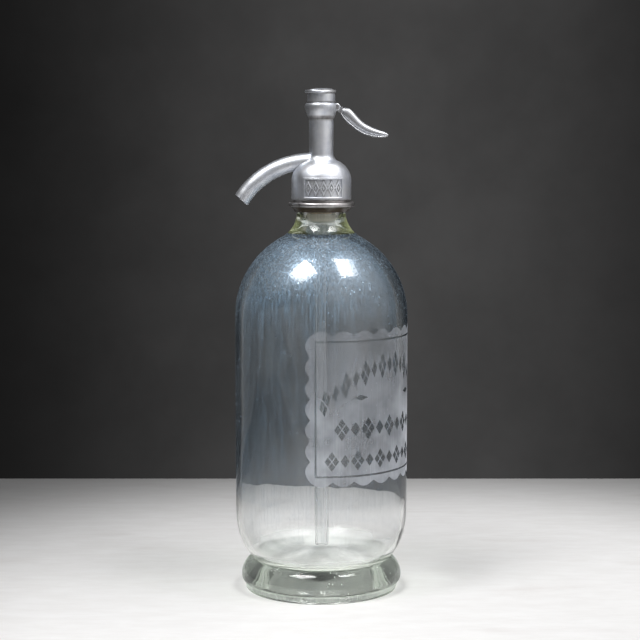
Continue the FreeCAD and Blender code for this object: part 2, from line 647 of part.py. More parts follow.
def make_spring_seat():
    return sleeve(STEM_RADIUS + FIT_GAP, SPRING_SEAT_RADIUS, SPRING_SEAT_Z, SPRING_Z)


def make_valve_disc():
    return sleeve(SCREW_RADIUS + FIT_GAP, DISC_RADIUS, DISC_Z, HOLDER_Z)


def make_valve_holder():
    cup = DISC_RADIUS + FIT_GAP
    holder = rod(cup + HOLDER_WALL, HOLDER_Z - HOLDER_LIP, HOLDER_Z + HOLDER_PLATE)
    holder = holder.cut(rod(cup, HOLDER_Z - HOLDER_LIP, HOLDER_Z))
    boss_top = HOLDER_Z + HOLDER_PLATE + HOLDER_BOSS_HEIGHT
    holder = holder.fuse(rod(HOLDER_BOSS_RADIUS, HOLDER_Z + HOLDER_PLATE, boss_top))
    return holder.cut(rod(STEM_RADIUS + FIT_GAP, HOLDER_Z, boss_top)).removeSplitter()


def make_disc_screw():
    head_low = DISC_Z - SCREW_HEAD_HEIGHT
    screw = rod(SCREW_HEAD_RADIUS, head_low, DISC_Z)
    screw = screw.fuse(rod(SCREW_RADIUS, DISC_Z, HOLDER_Z + SCREW_REACH))
    slot = block(-FAR, FAR, -SCREW_SLOT_WIDTH / 2, SCREW_SLOT_WIDTH / 2,
                 head_low - CUT_MARGIN, head_low + SCREW_SLOT_DEPTH)
    return screw.cut(slot).removeSplitter()


def make_stem_yoke():
    yoke = rod(YOKE_RADIUS, YOKE_Z, YOKE_TOP_Z)
    yoke = yoke.cut(block(-FAR, FAR, -LEVER_SLOT_Y, LEVER_SLOT_Y, WINDOW_Z, WINDOW_TOP_Z))
    yoke = yoke.cut(rod(STEM_RADIUS + FIT_GAP, YOKE_Z, WINDOW_Z))
    slot = block(-FAR, FAR, -NUT_SLOT_WIDTH / 2, NUT_SLOT_WIDTH / 2,
                 YOKE_TOP_Z - NUT_SLOT_DEPTH, YOKE_TOP_Z + CUT_MARGIN)
    return yoke.cut(slot)


# ---------------------------------------------------------------- lever
def oval(centre, up, height, width):
    """Closed smooth section across the handle, always started at the top."""
    points = []
    for index in range(SECTION_POINTS):
        angle = 2 * math.pi * index / SECTION_POINTS
        points.append(centre + up * (height / 2 * math.cos(angle))
                      + Vector(0, width / 2 * math.sin(angle), 0))
    curve = Part.BSplineCurve()
    curve.interpolate(Points=points, PeriodicFlag=True)
    return Part.Wire(curve.toShape())


def make_handle():
    """A rounded rib on a thin leaf, both drawn through the same sections."""
    leaf, rib = [], []
    for under, top, leaf_width, rib_width in HANDLE_SECTIONS:
        low = Vector(PIVOT_X + under[0], 0, PIVOT_Z + under[1])
        high = Vector(PIVOT_X + top[0], 0, PIVOT_Z + top[1])
        up = (high - low).normalize()
        depth = (high - low).Length
        leaf_depth = min(THUMB_PLATE, depth * THUMB_PLATE_SHARE)
        rib_depth = depth - leaf_depth * LEAF_SUNK_SHARE
        leaf.append(oval(low + up * (leaf_depth / 2), up, leaf_depth, leaf_width))
        rib.append(oval(high - up * (rib_depth / 2), up, rib_depth, rib_width))
    return Part.makeLoft(leaf, True).fuse(Part.makeLoft(rib, True))


def make_lever():
    half = LEVER_WIDTH / 2
    crown = cross_rod(FINGER_HEIGHT / 2, 0, FINGER_Z, -half, half)
    eye = cross_rod(EYE_RADIUS, PIVOT_X, PIVOT_Z, -half, half)

    def in_handle(edge, inset):
        """A point past the first section's lower (0) or upper (1) edge, moved by inset in height."""
        (x1, z1), (x2, z2) = HANDLE_SECTIONS[0][edge], HANDLE_SECTIONS[1][edge]
        return Vector(PIVOT_X + x1 + (x2 - x1) * SHANK_REACH_SHARE, -half,
                      PIVOT_Z + z1 + (z2 - z1) * SHANK_REACH_SHARE + inset)

    def polygon(points):
        return Part.Face(Part.makePolygon(points + points[:1])).extrude(Vector(0, 2 * half, 0))

    finger = polygon([
        Vector(0, -half, FINGER_Z - FINGER_HEIGHT / 2),
        Vector(PIVOT_X, -half, PIVOT_Z - EYE_RADIUS),
        Vector(PIVOT_X, -half, PIVOT_Z + EYE_RADIUS / 2),
        Vector(YOKE_RADIUS + FINGER_FLAT, -half, FINGER_Z + FINGER_HEIGHT / 2),
        Vector(0, -half, FINGER_Z + FINGER_HEIGHT / 2)])
    shank = polygon([
        Vector(PIVOT_X, -half, PIVOT_Z - EYE_RADIUS),
        in_handle(0, SHANK_INSET),
        in_handle(1, -SHANK_INSET),
        Vector(PIVOT_X, -half, PIVOT_Z + EYE_RADIUS)])
    lever = eye.fuse([crown, finger, shank, make_handle()])
    lever = lever.cut(cross_rod(PIN_RADIUS + RUNNING_GAP, PIVOT_X, PIVOT_Z, -FAR, FAR))
    return lever.removeSplitter()


def make_lever_pin():
    pin = cross_rod(PIN_RADIUS, PIVOT_X, PIVOT_Z, -CHEEK_OUTER_Y, CHEEK_OUTER_Y)
    for y_low in (-CHEEK_OUTER_Y - PIN_HEAD_HEIGHT, CHEEK_OUTER_Y):
        pin = pin.fuse(cross_rod(PIN_HEAD_RADIUS, PIVOT_X, PIVOT_Z, y_low, y_low + PIN_HEAD_HEIGHT))
    return pin.removeSplitter()


# ---------------------------------------------------------------- cap
def make_top_cap():
    bore = CAP_NECK_RADIUS + THREAD_GAP
    skirt_z = BULB_TOP_Z + CAP_SKIRT_GAP
    rim_top = CAP_RIM_Z + CAP_RIM_HEIGHT
    return turned(
        (bore, skirt_z),
        line_to(CAP_RADIUS, skirt_z),
        line_to(CAP_RADIUS, CAP_RIM_Z - CAP_FLARE),
        line_to(CAP_RIM_RADIUS, CAP_RIM_Z),
        bend_to((CAP_RIM_RADIUS + CAP_RIM_BULGE, CAP_RIM_Z + CAP_RIM_HEIGHT / 2),
                (CAP_RIM_RADIUS - CAP_RIM_ROUND, rim_top)),
        bend_to((CAP_RIM_RADIUS * CAP_CROWN_FULL_SHARE, rim_top + CAP_CROWN),
                (CAP_RIM_RADIUS * CAP_CROWN_FLAT_SHARE, rim_top + CAP_CROWN),
                (0, rim_top + CAP_CROWN)),
        line_to(0, CAP_CEILING_Z),
        line_to(bore, CAP_CEILING_Z))


def make_cap_washer():
    return sleeve(BULB_BORE, CAP_NECK_RADIUS, CAP_NECK_TOP_Z, CAP_CEILING_Z)


os.makedirs("parts", exist_ok=True)
collar_left, collar_right = make_collar_halves()
save("glass_bottle", make_bottle())
save("dip_tube", make_dip_tube())
save("tube_bush", make_tube_bush())
save("neck_collar_left", collar_left)
save("neck_collar_right", collar_right)
save("neck_gasket", make_neck_gasket())
save("seat_plate", make_seat_plate())
save("chamber_washer", make_chamber_washer())
save("head_casting", make_head_casting())
save("spout_tube", make_spout())
save("gland_packing", make_gland_packing())
save("gland_nut", make_gland_nut())
save("guide_bush", make_guide_bush())
save("return_spring", make_return_spring())
save("valve_stem", make_valve_stem())
save("spring_seat", make_spring_seat())
save("valve_disc", make_valve_disc())
save("valve_holder", make_valve_holder())
save("disc_screw", make_disc_screw())
save("stem_yoke", make_stem_yoke())
save("lever", make_lever())
save("lever_pin", make_lever_pin())
save("top_cap", make_top_cap())
save("cap_washer", make_cap_washer())
travel = math.radians(LEVER_TRAVEL)
lift = PIVOT_X * math.sin(travel) + PIVOT_ABOVE_FINGER * (1 - math.cos(travel))
print(f"pivot {PIVOT_X:.2f} {PIVOT_Z:.2f}  guide underside {GUIDE_Z:.2f}")
print(f"lever {LEVER_TRAVEL:.1f} degrees lifts {lift:.3f}, which is {lift / travel:.3f} per radian")
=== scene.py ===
# %% [markdown]
# # A soda siphon: glass, pewter and a sprung valve
# The solids already have their real sizes and places. This script dresses them: it builds the pieces that
# the eye rests on with finer shapes, gives every piece a finish of its own, and sets light and camera.
# Lengths in the outlines are millimetres, as on a drawing, and become metres when a piece is finished.

# %% Load the fixed frame
import json
import math

import bmesh
import bpy
from mathutils import Matrix, Vector, noise
from mathutils.geometry import interpolate_bezier


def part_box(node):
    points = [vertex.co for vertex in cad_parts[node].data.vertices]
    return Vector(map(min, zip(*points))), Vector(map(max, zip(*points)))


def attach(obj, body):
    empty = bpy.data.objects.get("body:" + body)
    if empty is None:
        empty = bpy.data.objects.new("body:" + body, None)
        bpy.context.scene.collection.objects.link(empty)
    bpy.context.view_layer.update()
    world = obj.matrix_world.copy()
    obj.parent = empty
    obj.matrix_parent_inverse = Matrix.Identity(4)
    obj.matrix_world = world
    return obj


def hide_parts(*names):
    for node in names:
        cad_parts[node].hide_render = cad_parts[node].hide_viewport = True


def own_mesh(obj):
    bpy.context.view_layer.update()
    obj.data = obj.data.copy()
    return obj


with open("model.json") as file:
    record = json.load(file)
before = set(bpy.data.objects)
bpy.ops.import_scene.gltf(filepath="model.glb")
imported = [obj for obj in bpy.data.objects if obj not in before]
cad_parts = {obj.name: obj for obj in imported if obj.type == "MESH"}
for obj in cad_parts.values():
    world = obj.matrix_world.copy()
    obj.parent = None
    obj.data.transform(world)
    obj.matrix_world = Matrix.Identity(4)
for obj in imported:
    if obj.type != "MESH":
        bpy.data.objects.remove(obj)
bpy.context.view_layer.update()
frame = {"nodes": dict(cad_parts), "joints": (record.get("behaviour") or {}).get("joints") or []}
MM = 0.001


# %% [markdown]
# ## Measures taken from the frame
# Where a new piece replaces a solid, it has to sit where that solid sits. So the driving heights and radii
# are read from the boxes of the nodes, and only the shapes between them are drawn here.

# %% Measures in millimetres
def low_of(node):
    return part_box(node)[0] / MM


def high_of(node):
    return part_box(node)[1] / MM


BODY_RADIUS = high_of("glass_bottle").x
LIP_Z = high_of("glass_bottle").z
COLLAR_Z = low_of("neck_collar_left").z
COLLAR_END_Z = high_of("neck_collar_left").z
BELL_Z = low_of("head_casting").z
CASTING_TOP_Z = high_of("head_casting").z
TUBE_Z, TUBE_TOP_Z = low_of("dip_tube").z, high_of("dip_tube").z
BUSH_Z, BUSH_TOP_Z = low_of("tube_bush").z, high_of("tube_bush").z
CAP_Z, CAP_TOP_Z = low_of("top_cap").z, high_of("top_cap").z
joints = {joint["name"]: joint for joint in frame["joints"]}
PIVOT = Vector(joints["lever_pivot"]["pos_m"]) / MM
print(f"body radius {BODY_RADIUS:.1f}, lip at {LIP_Z:.1f}, lever's pivot at {PIVOT.x:.1f}, {PIVOT.z:.1f}")


# %% [markdown]
# ## Drawing an outline with a pen
# A turned shape needs half of its section: points of (radius, height). The pen starts somewhere and each move
# adds points to where it stands. Lines, arcs and Bezier curves are enough for glass and castings alike.

# %% The pen and its moves
def outline(start, *moves):
    points = [start]
    for move in moves:
        points += move(points[-1])
    return points


def line(radius, z, steps=1):
    def move(pen):
        return [(pen[0] + (radius - pen[0]) * i / steps, pen[1] + (z - pen[1]) * i / steps)
                for i in range(1, steps + 1)]
    return move


def arc(centre, end, steps=8):
    """The short arc about a centre, from where the pen stands to an end point."""
    def move(pen):
        reach = math.dist(pen, centre)
        first = math.atan2(pen[1] - centre[1], pen[0] - centre[0])
        last = math.atan2(end[1] - centre[1], end[0] - centre[0])
        turn = (last - first + math.pi) % math.tau - math.pi
        return [(centre[0] + reach * math.cos(first + turn * i / steps),
                 centre[1] + reach * math.sin(first + turn * i / steps)) for i in range(1, steps + 1)]
    return move


def curve(lead, trail, end, steps=10):
    """A Bezier curve with its two handles and its end."""
    def move(pen):
        points = interpolate_bezier(*(Vector((x, 0, z)) for x, z in (pen, lead, trail, end)), steps + 1)
        return [(p.x, p.z) for p in points[1:]]
    return move


def tangent_point(centre, radius, other):
    """Where the circle about centre is met on the way to another centre."""
    share = radius / math.dist(centre, other)
    return centre[0] + (other[0] - centre[0]) * share, centre[1] + (other[1] - centre[1]) * share


# %% [markdown]
# ## Turning, wearing and finishing
# `turn` spins an outline round the Z axis, and `spun` does it for a shape of its own. `weather` pushes points
# along their normals with a smooth noise, because hand-blown glass and worn castings are never perfectly
# even. `finish` closes the work on a piece: it goes from millimetres to metres, gets its finish, and is told
# which body it rides on and which solids it stands for.

# %% Helpers for every piece
def turn(bm, points, steps, closed=False):
    """Spins an outline into a surface and returns the points that it made."""
    before = set(bm.verts)
    verts = [bm.verts.new((radius, 0, z)) for radius, z in points]
    edges = [bm.edges.new(pair) for pair in zip(verts, verts[1:])]
    if closed:
        edges.append(bm.edges.new((verts[-1], verts[0])))
    bmesh.ops.spin(bm, geom=verts + edges, cent=(0, 0, 0), axis=(0, 0, 1), angle=math.tau,
                   steps=steps, use_merge=True, use_duplicate=False)
    return [v for v in bm.verts if v not in before]


def close_up(bm, distance=0.002):
    """Merges doubles, drops faces without an area and turns every normal outwards."""
    bmesh.ops.remove_doubles(bm, verts=bm.verts, dist=distance)
    bmesh.ops.dissolve_degenerate(bm, dist=distance / 2, edges=bm.edges)
    bmesh.ops.recalc_face_normals(bm, faces=bm.faces)
    bm.normal_update()


def spun(points, steps, closed=False):
    bm = bmesh.new()
    turn(bm, points, steps, closed)
    close_up(bm)
    return bm


def weather(verts, depth, size, seed=0.0):
    offset = Vector((seed, seed * 1.7, -seed))
    for v in verts:
        v.co += v.normal * depth * noise.noise(v.co / size + offset)


def clamped(value):
    return max(0.0, min(1.0, value))


def new_object(name, data):
    thing = bpy.data.objects.new(name, data)
    bpy.context.collection.objects.link(thing)
    return thing


def to_object(bm, name):
    """Hands a bmesh over to an object of its own."""
    mesh = bpy.data.meshes.new(name)
    bm.to_mesh(mesh)
    bm.free()
    return new_object(name, mesh)


def finish(bm, name, material, slot, *nodes, body="siphon", sharp=35):
    """Makes the mesh a piece: metres, smooth faces, a finish, a body to ride on and nodes to stand for."""
    bmesh.ops.scale(bm, vec=(MM, MM, MM), verts=bm.verts)
    piece = to_object(bm, name)
    piece.data.shade_smooth()
    piece.data.set_sharp_from_angle(angle=math.radians(sharp))
    piece.data.materials.append(material)
    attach(piece, body)
    if nodes:
        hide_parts(*nodes)
    print(f"{name}: {len(piece.data.polygons)} faces")
    return piece


# %% [markdown]
# ## Placing nodes in a material
# Shader graphs are long to write by hand. These helpers add a node, set its sockets by name and wire it up,
# so that a finish below reads like a recipe. All patterns are placed by object coordinates, so they ride on
# their piece when the lever moves.

# %% Helpers for single nodes
def add(tree, kind, links=None, **values):
    """Adds a node. values set its settings or its sockets by name; links wire sockets into it."""
    made = tree.nodes.new("ShaderNode" + kind)
    for name, value in values.items():
        label = name.replace("_", " ")
        if hasattr(made, name):
            setattr(made, name, value)
        else:
            next(s for s in made.inputs if s.name == label).default_value = value
    for name, source in (links or {}).items():
        by_name = next((s for s in made.inputs if s.name == name), None)
        tree.links.new(source, made.inputs[name] if by_name is None else by_name)
    return made


def maths(tree, operation, first, second=0.0, third=None, clamp=False):
    made = add(tree, "Math", operation=operation, use_clamp=clamp)
    for socket, value in zip(made.inputs, (first, second, third)):
        if isinstance(value, (int, float)):
            socket.default_value = value
        elif value is not None:
            tree.links.new(value, socket)
    return made.outputs[0]


def between(tree, value, low, high, to_low=0.0, to_high=1.0):
    """Maps a value from one range to another, with soft ends."""
    made = add(tree, "MapRange", {"Value": value}, interpolation_type="SMOOTHSTEP",
               From_Min=low, From_Max=high, To_Min=to_low, To_Max=to_high)
    return made.outputs["Result"]


def blend_colour(tree, factor, first, second):
    made = add(tree, "Mix", data_type="RGBA")
    sockets = [s for s in made.inputs if s.type == "RGBA"]
    for socket, value in zip([made.inputs["Factor"], *sockets], (factor, first, second)):
        if isinstance(value, tuple):
            socket.default_value = (*value, 1.0)
        else:
            tree.links.new(value, socket)
    return next(s for s in made.outputs if s.type == "RGBA")


def place(tree, stretch=(1, 1, 1), tilt=(0, 0, 0)):
    """Object coordinates in metres, stretched and tilted."""
    source = add(tree, "TexCoord").outputs["Object"]
    return add(tree, "Mapping", {"Vector": source}, Scale=stretch, Rotation=tilt).outputs["Vector"]


def noise_at(tree, scale, detail, stretch=(1, 1, 1), tilt=(0, 0, 0), **values):
    """The value of a noise texture on the object's own coordinates."""
    vector = place(tree, stretch, tilt)
    return add(tree, "TexNoise", {"Vector": vector}, Scale=scale, Detail=detail, **values).outputs[0]


# %% [markdown]
# ## Groups and surfaces
# A mask or a colour that several finishes share is a node group with named sockets, made once. The shader
# stays in each material. Most of them are a Principled shader with a fine grain, so `grained` makes that.

# %% Helpers for groups and materials
def new_group(name, inputs, outputs):
    """An empty node group with its sockets, and the nodes that stand for its two ends."""
    group = bpy.data.node_groups.new(name, "ShaderNodeTree")
    for side, sockets in (("INPUT", inputs), ("OUTPUT", outputs)):
        for label, kind in sockets.items():
            group.interface.new_socket(label, in_out=side, socket_type="NodeSocket" + kind)
    return group, group.nodes.new("NodeGroupInput").outputs, group.nodes.new("NodeGroupOutput").inputs


def use_group(tree, group, **values):
    """Places a group and sets its inputs. Those that aren't named stay at zero."""
    made = add(tree, "Group", node_tree=group)
    for name, value in values.items():
        value = (*value, 1.0) if isinstance(value, tuple) else value
        made.inputs[name.replace("_", " ")].default_value = value
    return made.outputs


def new_material(name):
    material = bpy.data.materials.new(name)
    material.use_nodes = True
    material.node_tree.nodes.clear()
    return material, material.node_tree


def surface(tree, shader, **others):
    add(tree, "OutputMaterial", {"Surface": shader, **others})


def grained(tree, height, strength, depth, links, **values):
    """Makes the material's surface a Principled shader with a grain that comes from a height."""
    relief = add(tree, "Bump", {"Height": height}, Strength=strength, Distance=depth).outputs[0]
    surface(tree, add(tree, "BsdfPrincipled", {**links, "Normal": relief}, **values).outputs[0])


# %% [markdown]
# ## What old glass collects
# A siphon that was filled for decades is scuffed outside and limed inside: a bluish veil, fine upright
# streaks where water ran down, tiny flecks and a few long scratches. One group makes the mask of all of
# them, and each film on the glass, the tube and the label takes its own amounts.

# %% Group: lime, streaks and flecks
lime, given, result = new_group(
    "lime_and_scuffs", {"Veil": "Float", "Streaks": "Float", "Flecks": "Float", "Scratches": "Float"},
    {"Mask": "Float"})
runs = noise_at(lime, 900.0, 4.0, (1, 1, 0.035), Roughness=0.65)
haze = noise_at(lime, 38.0, 3.0)
where = noise_at(lime, 60.0, 2.0)
hairs = noise_at(lime, 95.0, 0.0, (1.3, 1.3, 0.12), (0.5, 0.3, 0.0))
cells = add(lime, "TexVoronoi", {"Vector": place(lime, (1, 1, 0.6))}, Scale=420.0)
veil = maths(lime, "MULTIPLY", given["Veil"], between(lime, haze, 0.3, 0.7, 0.55, 1.25))
streaks = maths(lime, "MULTIPLY", given["Streaks"], between(lime, runs, 0.47, 0.63))
fleck = maths(lime, "MULTIPLY", between(lime, cells.outputs["Distance"], 0.17, 0.07),
              between(lime, where, 0.48, 0.60))
hair = between(lime, maths(lime, "ABSOLUTE", maths(lime, "SUBTRACT", hairs, 0.5)), 0.009, 0.0)
hair = maths(lime, "MULTIPLY", hair, between(lime, where, 0.5, 0.62))
mask = maths(lime, "ADD", veil, streaks)
mask = maths(lime, "MULTIPLY_ADD", fleck, given["Flecks"], mask)
mask = maths(lime, "MULTIPLY_ADD", hair, given["Scratches"], mask, clamp=True)
lime.links.new(mask, result["Mask"])
print("group:", lime.name, len(lime.nodes), "nodes")


# %% [markdown]
# ## What pewter looks like
# Cast pewter is a dull grey-blue metal. Wiping keeps its crowns bright, and a brownish tarnish stays in
# corners and low spots; on the bell's panel the same brown is painted shade by the ridges. The group mixes
# the two colours with two sizes of noise, and puts out a roughness and a height for the fine grain of the
# mould.

# %% Group: worn cast metal
worn, given, result = new_group(
    "worn_cast_metal",
    {"Bright": "Color", "Dull": "Color", "Tarnish": "Color", "Corners": "Float", "Low Gloss": "Float"},
    {"Color": "Color", "Roughness": "Float", "Height": "Float"})
patches = noise_at(worn, 95.0, 5.0, Roughness=0.62)
grain = noise_at(worn, 1500.0, 3.0, Roughness=0.6)
wipes = noise_at(worn, 700.0, 2.0, (1, 1, 0.12))
pits = add(worn, "TexVoronoi", {"Vector": place(worn)}, Scale=480.0)
mottle = maths(worn, "ADD", between(worn, patches, 0.32, 0.7, 0.0, 0.8),
               between(worn, wipes, 0.4, 0.7, 0.0, 0.3), clamp=True)
metal = blend_colour(worn, mottle, given["Bright"], given["Dull"])
# the corner attribute brings tarnish, and on the bell's panel painted shade
tarnish_and_shade = add(worn, "Attribute", attribute_name="corner").outputs["Fac"]
tarnish_and_shade = maths(worn, "MULTIPLY", tarnish_and_shade, given["Corners"])
tarnish_and_shade = maths(worn, "MULTIPLY", tarnish_and_shade, between(worn, patches, 0.25, 0.6, 0.55, 1.0), clamp=True)
metal = blend_colour(worn, tarnish_and_shade, metal, given["Tarnish"])
gloss = maths(worn, "MULTIPLY_ADD", mottle, 0.12, given["Low Gloss"])
gloss = maths(worn, "MULTIPLY_ADD", tarnish_and_shade, 0.25, gloss, clamp=True)
pit = between(worn, pits.outputs["Distance"], 0.05, 0.16)
height = maths(worn, "MULTIPLY_ADD", grain, 0.5, maths(worn, "MULTIPLY", pit, 0.5))
for label, source in (("Color", metal), ("Roughness", gloss), ("Height", height)):
    worn.links.new(source, result[label])
print("group:", worn.name, len(worn.nodes), "nodes")


# %% [markdown]
# ## Pewter in three states
# The same group serves the casting with its spout and cap, the lever that thumbs keep bright, and the
# collar. Only the colours and the gloss differ.

# %% Materials: pewter
# the tarnish colour; on the bell's panel it also paints the shade by the ridges
BROWN = (0.105, 0.082, 0.062)


def pewter(name, bright, dull, low_gloss):
    material, tree = new_material(name)
    look = use_group(tree, worn, Bright=bright, Dull=dull, Tarnish=BROWN, Corners=1.0, Low_Gloss=low_gloss)
    grained(tree, look["Height"], 0.55, 0.000015,
            {"Base Color": look["Color"], "Roughness": look["Roughness"]}, Metallic=1.0)
    return material


head_pewter = pewter("head_pewter", (0.92, 0.94, 0.97), (0.66, 0.69, 0.76), 0.41)
lever_pewter = pewter("lever_pewter", (0.60, 0.61, 0.63), (0.47, 0.48, 0.51), 0.40)
collar_pewter = pewter("collar_pewter", (0.72, 0.70, 0.70), (0.46, 0.44, 0.44), 0.32)
print("pewter finishes:", head_pewter.name, lever_pewter.name, collar_pewter.name)


# %% [markdown]
# ## Glass that lets the lamps through
# Clear glass bends the view but hardly darkens what lies behind it. A path tracer takes glass for a wall
# when it asks how much light a matt surface gets, so those rays meet a Transparent shader. The green of the
# thick places comes from a little absorption inside the glass.

# %% Materials: clear glass
LAMP_SHARE = (0.97, 0.975, 0.97, 1)


def clear_glass(name, tint, density, ripple):
    """tint and density belong to the absorption inside; ripple is the waves' depth in metres."""
    material, tree = new_material(name)
    waves = noise_at(tree, 55.0, 2.0, (1, 1, 0.22))
    relief = add(tree, "Bump", {"Height": waves}, Strength=1.0, Distance=ripple)
    glass = add(tree, "BsdfPrincipled", {"Normal": relief.outputs[0]}, Base_Color=(1, 1, 1, 1), Roughness=0.0,
                IOR=1.5, Transmission_Weight=1.0)
    lamp_light = add(tree, "BsdfTransparent", Color=LAMP_SHARE)
    path = add(tree, "LightPath").outputs
    plain = maths(tree, "MAXIMUM", path["Is Shadow Ray"], path["Is Diffuse Ray"])
    mixed = add(tree, "MixShader", {0: plain, 1: glass.outputs[0], 2: lamp_light.outputs[0]})
    inside = add(tree, "VolumeAbsorption", Color=(*tint, 1), Density=density)
    surface(tree, mixed.outputs[0], Volume=inside.outputs[0])
    return material


blown_glass = clear_glass("blown_glass", (0.70, 0.80, 0.67), 12.0, 0.00025)
drawn_glass = clear_glass("drawn_glass", (0.80, 0.90, 0.86), 8.0, 0.00005)
print("glass:", blown_glass.name, drawn_glass.name)


# %% [markdown]
# ## The films on the glass
# Lime, scuffs and the frost of the label are all thin skins that scatter light and let the rest pass, so they
# are matt materials whose Alpha is a mask. The frost is etched, which makes it denser and more even than
# lime. Such skins scatter most light forwards, so they hardly cast a shadow: for shadow rays the Alpha is cut
# down. One function makes all eight, and each has its own heights and amounts; several of these are painted
# light, set to make a skin denser, and so brighter, where light falls on the bottle.

# %% Materials: lime, scuffs and frost
FORWARD = 0.9


def thin_skin(name, colour, roughness, heights, shares, metallic=0.0, edge=0.0, lean=0.0, **amounts):
    """A dull skin. Its density goes from one share to the other between two heights, in millimetres, grows at
    its edge, where it is seen at a slant, and falls by the lean from the bottle's left side to its right,
    which is painted light that makes the left side brighter."""
    material, tree = new_material(name)
    spot = add(tree, "SeparateXYZ", {"Vector": place(tree)}).outputs
    path = add(tree, "LightPath").outputs
    slant = maths(tree, "POWER", add(tree, "LayerWeight", Blend=0.5).outputs["Facing"], 2.0)
    density = between(tree, spot["Z"], heights[0] * MM, heights[1] * MM, *shares)
    for value, factor in ((slant, edge), (spot["X"], -lean / (BODY_RADIUS * MM)),
                          (path["Is Shadow Ray"], -FORWARD)):
        density = maths(tree, "MULTIPLY", density, maths(tree, "MULTIPLY_ADD", value, factor, 1.0))
    marks = use_group(tree, lime, **amounts)
    density = maths(tree, "MULTIPLY", marks["Mask"], density, clamp=True)
    shader = add(tree, "BsdfPrincipled", {"Alpha": density}, Base_Color=(*colour, 1), Roughness=roughness,
                 Metallic=metallic)
    surface(tree, shader.outputs[0])
    return material


# a real lime veil; its lean makes it denser on the left, which is painted light
veil_and_painted_light = thin_skin("veil_and_painted_light", (0.35, 0.56, 0.80), 0.45, (148, 184), (0.26, 1.0), lean=0.25,
                      Veil=0.052, Streaks=0.26, Flecks=0.5, Scratches=0.1)
# real scuffs; their growth towards the neck and their lean to the left brighten those places, which is
# painted light
scuffs_and_painted_light = thin_skin("scuffs_and_painted_light", (0.60, 0.77, 0.95), 0.35, (150, 219), (0.42, 2.2), 0.66, edge=1.6,
                       lean=0.35, Veil=0.056, Streaks=0.09, Flecks=1.0, Scratches=0.25)
# a stain that also paints in the yellow-green light that the thick neck glass shows at its sides: painted
# light
neck_stain_and_painted_light = thin_skin("neck_stain_and_painted_light", (0.55, 0.61, 0.30), 0.5, (216.5, 221.5), (0.0, 1.0), edge=12.0,
                       Veil=0.065, Streaks=0.02, Flecks=0.2)
# real lime, made pale and dense to stand in for the light that the glass gathers under the collar: painted
# light
neck_lime_and_painted_light = thin_skin("neck_lime_and_painted_light", (0.92, 0.87, 0.77), 0.6, (222.5, 226.5), (0.0, 1.0),
                      Veil=0.70, Streaks=0.10, Flecks=0.4)
# a real crust, made pale and dense to stand in for the light that the glass gathers on the floor: painted
# light
floor_lime_and_painted_light = thin_skin("floor_lime_and_painted_light", (0.98, 0.98, 0.97), 0.6, (19, 31), (1.0, 0.0),
                       Veil=0.60, Streaks=0.05, Flecks=0.3)
# real scuffs, densest at the lip, which paints the lip brighter: painted light
foot_scuffs_and_painted_light = thin_skin("foot_scuffs_and_painted_light", (0.74, 0.80, 0.74), 0.5, (3.5, 6.0), (4.0, 0.9), edge=3.0,
                        Veil=0.11, Streaks=0.03, Flecks=0.9, Scratches=0.2)
# etched frost; its density grows towards the bottom of the label, which paints the lower part brighter:
# painted light
label_frost_and_painted_light = thin_skin("label_frost_and_painted_light", (0.66, 0.69, 0.75), 0.6, (70, 155), (1.75, 0.74), edge=1.3,
                        Veil=0.32, Streaks=0.03, Flecks=0.1, Scratches=0.1)
tube_lime = thin_skin("tube_lime", (0.72, 0.78, 0.82), 0.5, (20, 200), (1.0, 0.6),
                      Veil=0.12, Streaks=0.20, Flecks=0.3)
films = (veil_and_painted_light, scuffs_and_painted_light, neck_stain_and_painted_light, neck_lime_and_painted_light, floor_lime_and_painted_light, foot_scuffs_and_painted_light, label_frost_and_painted_light, tube_lime)
print("films:", ", ".join(film.name for film in films))


# %% [markdown]
# ## The bottle's section
# The glass is thick: 4.5 mm at the wall and far more in the foot and at the neck. The outside and the inside
# are drawn as two outlines that meet at the lip. In both, the shoulder flows into the neck, so one function
# finds where the two arcs touch.

# %% The bottle's measures
WALL_BOTTOM_Z, WALL_TOP_Z = 55.0, 168.0
GLASS_WALL = 4.5
SHOULDER_RADIUS = 54.6
NECK_RADIUS, NECK_FILLET = 14.6, 17.5
NECK_BORE, NECK_FILLET_INSIDE = 9.0, 8.0
GROOVE_RADIUS, GROOVE_HEIGHT = 13.2, 4.9
BEAD_RADIUS, LIP_ROUND = 14.8, 1.2
WAIST = (42.5, 19.5)
FOOT_RADIUS, FOOT_WIDEST_Z = 49.0, 8.7
SEAM = (47.5, 4.3)
SEAM_DEPTH = 0.7
REST_OUTER, REST_INNER, PUSH_UP = 46.3, 40.5, 12.0
MOAT = (29.0, 18.0)
FLOOR_Z = 22.5
HEEL_INSIDE_Z = 52.0


def shoulder_arcs(radius, fillet, neck):
    """Centre of the shoulder, centre of the neck's fillet, and where the two arcs meet."""
    shoulder = (BODY_RADIUS - SHOULDER_RADIUS, WALL_TOP_Z)
    reach = neck + fillet - shoulder[0]
    neck_centre = (neck + fillet, WALL_TOP_Z + math.sqrt((radius + fillet) ** 2 - reach ** 2))
    return shoulder, neck_centre, tangent_point(shoulder, radius, neck_centre)


# %% [markdown]
# ## The outside
# From the push-up under the floor the pen goes out over the ring that the bottle rests on, the mould's seam
# and the flared foot, in to the waist, up the wall, over the shoulder, and along the neck to the groove for
# the collar and the bead at the lip.

